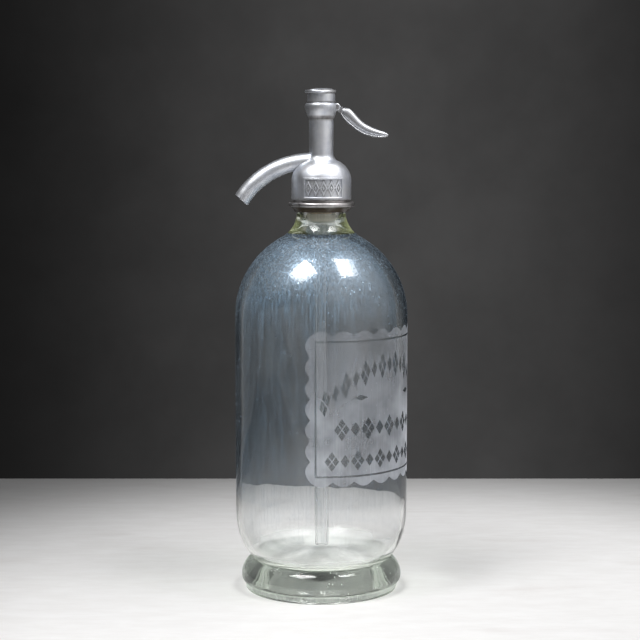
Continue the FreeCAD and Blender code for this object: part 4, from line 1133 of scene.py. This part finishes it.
# %% Solder round the spout's root
SOLDER_X, SOLDER_HALF, SOLDER_RISE = -8.0, 1.5, 0.35
SOLDER_BORE, SOLDER_TOP = SPOUT_RADIUS - 0.6, SPOUT_RADIUS + SOLDER_RISE
bead = outline((SOLDER_BORE, -SOLDER_HALF), curve(
    (SOLDER_TOP, -SOLDER_HALF), (SOLDER_TOP, SOLDER_HALF), (SOLDER_BORE, SOLDER_HALF), 10))
bm = spun(bead, SPOUT_SIDES, closed=True)
weather(bm.verts, depth=0.3, size=3.0, seed=3.0)
bmesh.ops.rotate(bm, matrix=Matrix.Rotation(math.pi / 2, 3, "Y"), verts=bm.verts)
bmesh.ops.translate(bm, vec=(SOLDER_X, 0, SPOUT_START.z), verts=bm.verts)
solder = finish(bm, "spout_solder", head_pewter, "pewter")
mark_corners(solder, [(8.0, SPOUT_START.z - 9)], 2.0)


# %% [markdown]
# ## The cap
# A plain screwed cap whose rim was knocked about: it stands further out on the spout's side and is worn
# short on the other. The rim's points are moved by gentle waves round the axis.

# %% Top cap
CAP_RADIUS, CAP_BORE, CAP_RIM_RADIUS, CAP_ROUND = 8.3, 7.0, 9.3, 0.3
CAP_RIM_Z, CAP_RIM_TOP_Z = CAP_TOP_Z - 2.6, CAP_TOP_Z - 0.9
CAP_CEILING_Z = CASTING_TOP_Z + 0.8


def cap_outline():
    rim, top = CAP_RIM_RADIUS, CAP_RIM_TOP_Z
    return outline(
        (CAP_BORE, CAP_Z), line(CAP_RADIUS - CAP_ROUND, CAP_Z, 2),
        arc((CAP_RADIUS - CAP_ROUND, CAP_Z + CAP_ROUND), (CAP_RADIUS, CAP_Z + CAP_ROUND), 3),
        line(CAP_RADIUS, CAP_RIM_Z - 0.6, 8),
        curve((CAP_RADIUS, CAP_RIM_Z), (rim - 0.5, CAP_RIM_Z - 0.1), (rim, CAP_RIM_Z + 0.2), 4),
        curve((rim + 0.2, CAP_RIM_Z + 0.5), (rim + 0.1, top), (rim - 0.4, top), 6),
        curve((rim - 0.8, top - 0.5), (rim - 1.2, top - 0.5), (rim - 1.8, top), 5),
        curve((rim * 0.6, CAP_TOP_Z), (rim * 0.3, CAP_TOP_Z), (0, CAP_TOP_Z), 10),
        line(0, CAP_CEILING_Z), line(CAP_BORE, CAP_CEILING_Z, 4), line(CAP_BORE, CAP_Z, 4))


def knock_about(verts):
    """Moves the rim out and in, and up and down, in waves of one to seven round the axis."""
    for v in verts:
        radius = math.hypot(v.co.x, v.co.y)
        share = clamped((radius - CAP_RADIUS + 0.2) / 0.9) * (v.co.z > CAP_RIM_Z - 0.7)
        if share:
            angle = math.atan2(v.co.y, v.co.x)
            reach = -0.75 * math.cos(angle) + 0.22 * math.sin(3 * angle + 1) + 0.1 * math.sin(7 * angle)
            rise = 0.25 * math.sin(2 * angle + 0.6) + 0.12 * math.sin(5 * angle)
            v.co += Vector((v.co.x, v.co.y, 0)).normalized() * reach * share
            v.co.z += share * rise - 0.25 * share


bm = spun(cap_outline(), METAL_STEPS)
knock_about(bm.verts)
bm.normal_update()
outer = [v for v in bm.verts
         if math.hypot(v.co.x, v.co.y) > CAP_BORE + 0.4 or v.co.z > CAP_RIM_TOP_Z]
weather(outer, depth=0.14, size=3.0, seed=6.0)
cap = finish(bm, "screwed_cap", head_pewter, "pewter", "top_cap")
mark_corners(cap, [(CAP_RADIUS, CAP_Z), (CAP_RADIUS, CAP_RIM_Z),
                   (CAP_RIM_RADIUS - 1.2, CAP_RIM_TOP_Z - 0.4)], 1.3)


# %% [markdown]
# ## The lever
# The handle is a rounded rib on a thin leaf. Both are drawn through the same sections: a ring of points for
# each, bridged to the next, then rounded by a Subdivision Surface.

# %% Lever: handle sections
LEAF_THICKNESS, RING_SIDES, CAP_INSET = 1.5, 12, 0.35
HANDLE_SECTIONS = [  # under side (x, z) and top (x, z) from the pivot, width of the leaf, width of the rib
    ((2.0, -3.8), (3.7, -0.3), 3.2, 3.2),
    ((3.0, -5.8), (5.6, -0.2), 5.4, 4.6),
    ((4.6, -8.0), (8.5, -0.7), 7.2, 5.6),
    ((7.4, -10.4), (11.6, -4.2), 9.0, 6.0),
    ((11.5, -14.0), (15.6, -9.0), 10.6, 6.0),
    ((16.8, -16.9), (19.9, -11.3), 12.0, 5.8),
    ((22.1, -18.2), (24.1, -13.3), 12.6, 5.2),
    ((27.5, -18.6), (28.6, -14.5), 11.0, 4.2),
    ((30.9, -17.9), (31.5, -16.2), 5.0, 2.2),
]


def section_ring(bm, centre, up, height, width):
    """A ring of points across the handle; its local X is the width and its local Y points up."""
    side = Vector((0, 1, 0))
    along = side.cross(up).normalized()
    pose = Matrix.Translation(centre) @ Matrix((side, up, along)).transposed().to_4x4()
    pose = pose @ Matrix.Diagonal((width / 2, height / 2, 1, 1))
    ring = bmesh.ops.create_circle(bm, radius=1.0, segments=RING_SIDES, matrix=pose)["verts"]
    return list({e for v in ring for e in v.link_edges}), ring


def loft(rings):
    bm = bmesh.new()
    made = [section_ring(bm, *ring) for ring in rings]
    for (first, _), (second, _) in zip(made, made[1:]):
        bmesh.ops.bridge_loops(bm, edges=first + second)
    for _, ring in (made[0], made[-1]):
        bmesh.ops.contextual_create(bm, geom=ring)
    close_up(bm)
    caps = [f for f in bm.faces if len(f.verts) > 4]
    bmesh.ops.inset_region(bm, faces=caps, thickness=CAP_INSET)
    return bm


def handle():
    leaf, rib = [], []
    for under, top, leaf_width, rib_width in HANDLE_SECTIONS:
        low, high = (Vector((PIVOT.x + x, 0, PIVOT.z + z)) for x, z in (under, top))
        depth, up = (high - low).length, (high - low).normalized()
        leaf_depth = min(LEAF_THICKNESS, depth * 0.8)
        rib_depth = depth - leaf_depth * 0.4
        leaf.append((low + up * leaf_depth / 2, up, leaf_depth, leaf_width))
        rib.append((high - up * rib_depth / 2, up, rib_depth, rib_width))
    return join(loft(leaf), [loft(rib)])


# %% [markdown]
# ## The flat end of the lever
# Where the lever lies in the slot it is flat: a shank, the eye that turns on the pin, and a finger with a
# round tip that lifts the stem. Each is a plate or a disc with soft edges, and they overlap into one shape.

# %% Lever: finger, eye and shank
LEVER_HALF, LEVER_SOFT, LEVER_SOFT_STEPS = 1.65, 0.25, 2
EYE_RADIUS, EYE_SIDES = 2.1, 40
FINGER_Z, FINGER_HALF = PIVOT.z - 1.8, 1.1
FINGER_FLAT_X = 4.2


def plate(points):
    """A flat plate from its corners in the XZ plane, as thick as the lever."""
    bm = bmesh.new()
    bm.faces.new([bm.verts.new((x, -LEVER_HALF, z)) for x, z in points])
    thicken(bm, (0, 2 * LEVER_HALF, 0))
    soften(bm, bm.edges[:], LEVER_SOFT, LEVER_SOFT_STEPS)
    return bm


def disc(centre, radius):
    bm = bmesh.new()
    bmesh.ops.create_cone(bm, cap_ends=True, segments=EYE_SIDES, radius1=radius, radius2=radius,
                          depth=2 * LEVER_HALF, matrix=lay(centre))
    rims = [e for e in bm.edges if e.calc_face_angle(0) > 1.0]
    soften(bm, rims, LEVER_SOFT, LEVER_SOFT_STEPS)
    return bm


finger = plate([
    (0, FINGER_Z - FINGER_HALF), (PIVOT.x, PIVOT.z - EYE_RADIUS), (PIVOT.x, PIVOT.z + EYE_RADIUS / 2),
    (FINGER_FLAT_X, FINGER_Z + FINGER_HALF), (0, FINGER_Z + FINGER_HALF)])
shank = plate([
    (PIVOT.x, PIVOT.z - EYE_RADIUS), (PIVOT.x + 2.4, PIVOT.z - 4.0), (PIVOT.x + 4.2, PIVOT.z - 0.7),
    (PIVOT.x, PIVOT.z + EYE_RADIUS)])
bm = join(handle(), [finger, shank, disc(PIVOT, EYE_RADIUS), disc(Vector((0, 0, FINGER_Z)), FINGER_HALF)])
lever = finish(bm, "thumb_lever_handle", lever_pewter, "pewter_bright", "lever", body="thumb_lever", sharp=60)
mark_corners(lever, [(11.0, PIVOT.z - 3.0), (13.0, PIVOT.z - 7.0)], 2.0)
rounding = lever.modifiers.new("rounding", "SUBSURF")
rounding.levels = rounding.render_levels = 2


# %% [markdown]
# ## The frosted label
# The label is etched into the glass: a scalloped patch with a clear frame line and rows of plain figures. It
# is drawn flat, as closed lines. The patch comes first, and its frame is two rectangles, one in the other.

# %% Label: the patch and its frame
LABEL_FIRST, LABEL_LAST = -10.4, 111.0
LABEL_Z, LABEL_TOP_Z = 72.0, 164.0
LABEL_RADIUS = BODY_RADIUS + 0.06
FRAME_INSET, FRAME_LINE = 5.6, 1.1
SCALLOP_DEPTH, SCALLOP_PITCH, SCALLOP_STEPS = 2.9, 12.6, 12
CORNERS = ((-1, -1), (1, -1), (1, 1), (-1, 1))
label_width = math.radians(LABEL_LAST - LABEL_FIRST) * LABEL_RADIUS
half_width, half_height = label_width / 2, (LABEL_TOP_Z - LABEL_Z) / 2


def rectangle(inset_by):
    """The label's rectangle, made smaller all round."""
    return [Vector((x * (half_width - inset_by), y * (half_height - inset_by))) for x, y in CORNERS]


def scalloped():
    """A rectangle whose sides swell outwards in even scallops."""
    corners, points = rectangle(SCALLOP_DEPTH), []
    for start, end in zip(corners, corners[1:] + corners[:1]):
        along = end - start
        outward = Vector((along.y, -along.x)).normalized()
        count = round(along.length / SCALLOP_PITCH)
        for i in range(count * SCALLOP_STEPS):
            share = i / (count * SCALLOP_STEPS)
            swell = abs(math.sin(math.pi * share * count))
            points.append(start + along * share + outward * SCALLOP_DEPTH * swell)
    return points


print(f"the label is {label_width:.0f} by {2 * half_height:.0f}, with {len(scalloped())} points on its edge")


# %% [markdown]
# ## The label's figures
# Parted and plain diamonds stand by turns in three rows, the upper one on an arch. A diamond on the arch
# leans with it, so its two side corners are moved up and down by the slope of the arch.

# %% Label: rows of diamonds
PARTED_SHARE = 0.46


def diamond(x, y, width, height, lean=0.0):
    return [Vector((x + width / 2, y + lean * width / 2)), Vector((x, y + height / 2)),
            Vector((x - width / 2, y - lean * width / 2)), Vector((x, y - height / 2))]


def parted_diamond(x, y, width, height, lean=0.0):
    """A large diamond parted by a thin cross into four small ones."""
    part, away = PARTED_SHARE, (1 - PARTED_SHARE) / 2
    return [diamond(x + dx * width * away, y + (dy * height + lean * dx * width) * away,
                    width * part, height * part, lean) for dx, dy in ((1, 0), (0, 1), (-1, 0), (0, -1))]


def ornament_row(count, reach, foot, rise, width, height):
    """Parted and plain diamonds by turns, on an arch that is rise higher at its middle than at its ends."""
    shapes = []
    for i in range(count):
        share = -1 + 2 * i / (count - 1)
        x, y = share * reach, foot - half_height + rise * (1 - share * share) + height / 2
        lean = -2 * rise * share / reach
        if i % 2 == 0:
            shapes += parted_diamond(x, y, width * 1.25, height, lean)
        else:
            shapes.append(diamond(x, y, width * 0.8, height * 0.66, lean))
    return shapes


def label_shapes():
    shapes = [scalloped(), rectangle(FRAME_INSET), rectangle(FRAME_INSET + FRAME_LINE)]
    shapes += ornament_row(15, half_width - 11.5, 42.0, 21.0, 5.2, 15.5)
    shapes += [diamond(side * 22, 52.5 - half_height, 10.0, 3.2) for side in (-1, 1)]
    shapes += ornament_row(9, 34.0, 27.5, 0.0, 7.4, 13.0)
    shapes += ornament_row(11, 40.0, 9.5, 0.0, 7.0, 11.5)
    return shapes


print("the label has", len(label_shapes()), "outlines")


# %% [markdown]
# ## Wrapping the label
# A flat curve fills itself and leaves every second outline open, which is just what a stencil does. Its mesh
# is cut into upright strips, so that it can bend, and is then wrapped round the body.

# %% Label: fill, cut into strips, wrap
STRIP_WIDTH = 1.5


def filled(shapes):
    data = bpy.data.curves.new("label_drawing", "CURVE")
    data.dimensions, data.fill_mode = "2D", "FRONT"
    for shape in shapes:
        spline = data.splines.new("POLY")
        spline.points.add(len(shape) - 1)
        for point, spot in zip(spline.points, shape):
            point.co = (spot.x, spot.y, 0, 1)
        spline.use_cyclic_u = True
    return take_mesh(new_object("label_drawing", data))


bm = filled(label_shapes())
strips = int(label_width / STRIP_WIDTH)
for i in range(1, strips):
    slice_at(bm, (-half_width + label_width * i / strips, 0, 0), (1, 0, 0), 0.0001)
bmesh.ops.rotate(bm, matrix=Matrix.Rotation(math.pi / 2, 3, "X"), verts=bm.verts)
bmesh.ops.translate(bm, vec=(0, 0, (LABEL_Z + LABEL_TOP_Z) / 2), verts=bm.verts)
wrap(bm, LABEL_RADIUS, (LABEL_FIRST + LABEL_LAST) / 2)
close_up(bm, 0.0005)
outwards = sum(f.normal.dot(f.calc_center_median().xy.to_3d()) * f.calc_area() for f in bm.faces)
if outwards < 0:
    bmesh.ops.reverse_faces(bm, faces=bm.faces)
finish(bm, "frosted_label", label_frost_and_painted_light, "bottle_glass")


# %% [markdown]
# ## The works inside
# Seat, gland, stem, yoke and pin are out of sight, but some move when the lever moves and all show as soon as
# the head is taken off. Their solids are right as they are, so they only get their finishes: turned brass,
# steel, greased leather and waxed cord, each with marks that run the way the tool or the fibre ran.

# %% Materials: brass, steel, leather and cord
def plain_metal(name, colour, dull, roughness, stretch):
    material, tree = new_material(name)
    marks = noise_at(tree, 900.0, 3.0, stretch)
    tone = blend_colour(tree, between(tree, noise_at(tree, 180.0, 4.0), 0.35, 0.7), colour, dull)
    gloss = between(tree, marks, 0.3, 0.7, roughness, roughness + 0.18)
    grained(tree, marks, 0.3, 0.00002, {"Base Color": tone, "Roughness": gloss}, Metallic=1.0)
    return material


def fibrous(name, colour, dark, scale, stretch):
    material, tree = new_material(name)
    fibres = noise_at(tree, scale, 5.0, stretch, Roughness=0.7)
    tone = blend_colour(tree, between(tree, fibres, 0.3, 0.7), dark, colour)
    gloss = between(tree, fibres, 0.3, 0.7, 0.9, 0.6)
    grained(tree, fibres, 0.8, 0.0001, {"Base Color": tone, "Roughness": gloss})
    return material


turned_brass = plain_metal("turned_brass", (0.78, 0.60, 0.30), (0.50, 0.36, 0.17), 0.25, (1, 1, 8))
wire_steel = plain_metal("wire_steel", (0.60, 0.60, 0.61), (0.42, 0.41, 0.41), 0.28, (1, 1, 3))
rivet_steel = plain_metal("rivet_steel", (0.56, 0.56, 0.58), (0.36, 0.34, 0.33), 0.32, (1, 6, 1))
leather = fibrous("greased_leather", (0.30, 0.18, 0.10), (0.14, 0.08, 0.045), 900.0, (1, 1, 3))
waxed_cord = fibrous("waxed_cord", (0.72, 0.67, 0.55), (0.45, 0.40, 0.30), 1500.0, (1, 1, 5))

FINISHES = {
    turned_brass: ["seat_plate", "gland_nut", "guide_bush", "valve_stem", "spring_seat", "valve_holder",
                   "disc_screw", "stem_yoke"],
    rivet_steel: ["lever_pin"],
    leather: ["chamber_washer", "cap_washer"],
    waxed_cord: ["gland_packing"],
    moulded_rubber: ["neck_gasket", "valve_disc"],
}
for material, nodes in FINISHES.items():
    for node in nodes:
        kept = frame["nodes"][node].data.materials
        kept.clear()
        kept.append(material)
    print(material.name, "on", ", ".join(nodes))


# %% [markdown]
# ## The return spring
# The spring stands between the seat on the stem and the guide bush, so it shortens as the valve rises. That
# makes it a piece of its own: a round wire is spun up the stem.

# %% The coil of the return spring
WIRE, WIRE_SIDES, SPRING_TURNS, TURN_STEPS = 0.8, 14, 4.5, 40
low, high = low_of("return_spring"), high_of("return_spring")
steps = round(SPRING_TURNS * TURN_STEPS)
bm = bmesh.new()
bmesh.ops.create_circle(bm, segments=WIRE_SIDES, radius=WIRE / 2,
                        matrix=lay((high.x - WIRE / 2, 0, low.z + WIRE / 2)))
bmesh.ops.spin(bm, geom=bm.verts[:] + bm.edges[:], cent=(0, 0, 0), axis=(0, 0, 1),
               angle=math.tau * SPRING_TURNS, dvec=(0, 0, (high.z - low.z - WIRE) / steps), steps=steps,
               use_duplicate=False)
bmesh.ops.holes_fill(bm, edges=[e for e in bm.edges if e.is_boundary])
close_up(bm)
piece = finish(bm, "spring_coil", wire_steel, "spring_wire", "return_spring")
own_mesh(piece)


# %% [markdown]
# ## The table
# Glass shows what is round it, so the room matters as much as the bottle. The table is a pale painted board
# that ends behind the bottle. Away from a pool round the siphon its colour is darkened towards the far
# corners, which is a painted falloff of the lamps' light.

# %% The table
TABLE_BACK_Y, TABLE_FRONT_Y, TABLE_HALF_X, TABLE_THICKNESS = 0.336, -0.60, 1.5, 0.03
POOL_X, POOL_RADIUS, POOL_END, POOL_PAINTED_FALLOFF = 0.04, 0.19, 0.44, 0.66
BOARD, BOARD_PALE, BOARD_STAIN = (0.765, 0.752, 0.742), (0.815, 0.806, 0.80), (0.66, 0.63, 0.61)
board, tree = new_material("board_with_painted_falloff")
brush = noise_at(tree, 30.0, 8.0, (1, 3.2, 1), Roughness=0.72)
stains = noise_at(tree, 11.0, 6.0, (1, 2.4, 1), Roughness=0.6)
spot = add(tree, "SeparateXYZ", {"Vector": place(tree)}).outputs
behind = maths(tree, "MAXIMUM", spot["Y"], 0.0)
aside = maths(tree, "SUBTRACT", spot["X"], POOL_X)
reach = maths(tree, "MULTIPLY_ADD", behind, behind, maths(tree, "MULTIPLY", aside, aside))
reach = maths(tree, "SQRT", reach)
tone = blend_colour(tree, between(tree, brush, 0.35, 0.68), BOARD, BOARD_PALE)
tone = blend_colour(tree, between(tree, stains, 0.55, 0.75, 0.0, 0.45), tone, BOARD_STAIN)
# painted falloff of light: the board darkens with its distance from the pool round the siphon
tone = blend_colour(tree, between(tree, reach, POOL_RADIUS, POOL_END, 0.0, POOL_PAINTED_FALLOFF), tone, (0.0, 0.0, 0.0))
grained(tree, brush, 0.15, 0.0004, {"Base Color": tone}, Roughness=0.6)

bm = bmesh.new()
middle = Matrix.Translation((0, (TABLE_BACK_Y + TABLE_FRONT_Y) / 2, -TABLE_THICKNESS / 2))
size = Matrix.Diagonal((2 * TABLE_HALF_X, TABLE_BACK_Y - TABLE_FRONT_Y, TABLE_THICKNESS, 1))
bmesh.ops.create_cube(bm, size=1.0, matrix=middle @ size)
table = to_object(bm, "table")
table.data.materials.append(board)
print(f"table: {2 * TABLE_HALF_X:.2f} by {TABLE_BACK_Y - TABLE_FRONT_Y:.2f} metres")


# %% [markdown]
# ## The dark wall and the room
# The wall is the world itself: a dark warm grey with a soft pool of light behind the siphon. Light Path tells
# who is looking. The camera sees only the wall. Metal and glass also see a lighter room in front and to the
# right, and everything matt gets a soft even fill, so the wall never lights the object.

# %% The wall, the room and the fill
WALL_DARK, WALL_POOL, WALL_SIDE, WALL_AZIMUTH = 0.0085, 0.050, 0.030, 0.036
ROOM_FRONT, ROOM_RIGHT, RIGHT_THROUGH, ROOM_THROUGH = 0.10, 0.72, 0.24, 0.20
FILL, WARMTH = (0.11, 0.113, 0.12), 0.985


def glow(tree, direction, axis, edge, strength):
    """A round patch of light about an axis. It fades out where the cosine to the axis falls to edge."""
    made = add(tree, "VectorMath", {0: direction}, operation="DOT_PRODUCT")
    made.inputs[1].default_value = Vector(axis).normalized()
    return between(tree, made.outputs["Value"], edge, 1.0, 0.0, strength)


world = bpy.data.worlds.new("room")
bpy.context.scene.world = world
world.use_nodes = True
tree = world.node_tree
tree.nodes.clear()
direction = add(tree, "TexCoord").outputs["Generated"]
way = add(tree, "SeparateXYZ", {"Vector": direction}).outputs
path = add(tree, "LightPath").outputs
azimuth = maths(tree, "ARCTAN2", way["X"], way["Y"])
off = maths(tree, "ABSOLUTE", maths(tree, "SUBTRACT", azimuth, WALL_AZIMUTH))
pool = maths(tree, "ADD", between(tree, off, 0.24, 0.0, 0.0, WALL_POOL),
             between(tree, off, 0.28, 0.7, 0.0, WALL_SIDE))
smears = add(tree, "TexNoise", {"Vector": direction}, Scale=9.0, Detail=5.0, Roughness=0.62).outputs[0]
wall = maths(tree, "ADD", pool, WALL_DARK)
wall = maths(tree, "MULTIPLY", wall, between(tree, smears, 0.3, 0.7, 0.86, 1.12))
mirrored = maths(tree, "MAXIMUM", path["Is Glossy Ray"], path["Is Transmission Ray"])
front = maths(tree, "MULTIPLY", glow(tree, direction, (0.10, -1.0, 0.30), 0.55, ROOM_FRONT), mirrored)
right = maths(tree, "MULTIPLY", glow(tree, direction, (0.85, -0.42, 0.38), 0.50, ROOM_RIGHT),
              maths(tree, "MULTIPLY_ADD", path["Is Transmission Ray"], RIGHT_THROUGH, path["Is Glossy Ray"]))
through = maths(tree, "MULTIPLY", path["Is Transmission Ray"],
                between(tree, off, 0.45, 1.1, 0.0, ROOM_THROUGH))
seen = maths(tree, "ADD", maths(tree, "ADD", wall, through), maths(tree, "ADD", front, right))
dimmed = maths(tree, "MULTIPLY", seen, WARMTH)
seen = add(tree, "CombineColor", {"Red": seen, "Green": dimmed, "Blue": dimmed}).outputs[0]
fill = blend_colour(tree, maths(tree, "MAXIMUM", path["Is Camera Ray"], mirrored), FILL, seen)
background = add(tree, "Background", {"Color": fill}, Strength=1.0)
add(tree, "OutputWorld", {"Surface": background.outputs[0]})
print("the room has", len(tree.nodes), "nodes")


# %% [markdown]
# ## Two soft boxes
# The light comes from two square soft boxes above and in front, left and right. Their reflections are the two
# bright squares on the shoulder, the neck and the foot. A narrow spread lets the light fall off behind.

# %% Lamps
LAMP_TARGET = Vector((0, 0, 0.2))
SPREAD = 72


def soft_box(name, azimuth, elevation, distance, size, aim, power):
    """A square lamp, placed by its azimuth from the front and turned to a point on the table."""
    light = bpy.data.lights.new(name, "AREA")
    light.shape, light.size, light.energy = "SQUARE", size, power
    light.spread = math.radians(SPREAD)
    lamp = new_object(name, light)
    azimuth, elevation = math.radians(azimuth), math.radians(elevation)
    lamp.location = LAMP_TARGET + distance * Vector((
        math.sin(azimuth) * math.cos(elevation), -math.cos(azimuth) * math.cos(elevation),
        math.sin(elevation)))
    lamp.rotation_euler = (Vector(aim) - lamp.location).to_track_quat("-Z", "Y").to_euler()
    print(f"{name}: {power} watts, {distance} metres away")


soft_box("soft_box_left", azimuth=-40.8, elevation=55.5, distance=1.0, size=0.45, aim=(-0.09, -0.30, 0),
         power=2.40)
soft_box("soft_box_right", azimuth=66.0, elevation=58, distance=0.95, size=0.38, aim=(0.23, 0.20, 0),
         power=1.52)


# %% [markdown]
# ## The camera
# It stands one metre in front of the siphon, a little above its middle, and looks slightly down. A long lens
# keeps the bottle's sides nearly parallel.

# %% Camera
CAMERA_PLACE, LOOKS_DOWN, LENS, SENSOR = (-0.0008, -1.0513, 0.2765), 6.04, 97.44, 36.0
camera_data = bpy.data.cameras.new("camera")
camera_data.lens, camera_data.sensor_width, camera_data.clip_start = LENS, SENSOR, 0.01
camera = new_object("camera", camera_data)
camera.location = CAMERA_PLACE
camera.rotation_euler = (math.radians(90 - LOOKS_DOWN), 0, 0)
bpy.context.scene.camera = camera
bpy.context.scene.view_settings.view_transform = "Standard"
print(f"camera: {LENS} mm lens, {LOOKS_DOWN} degrees down")
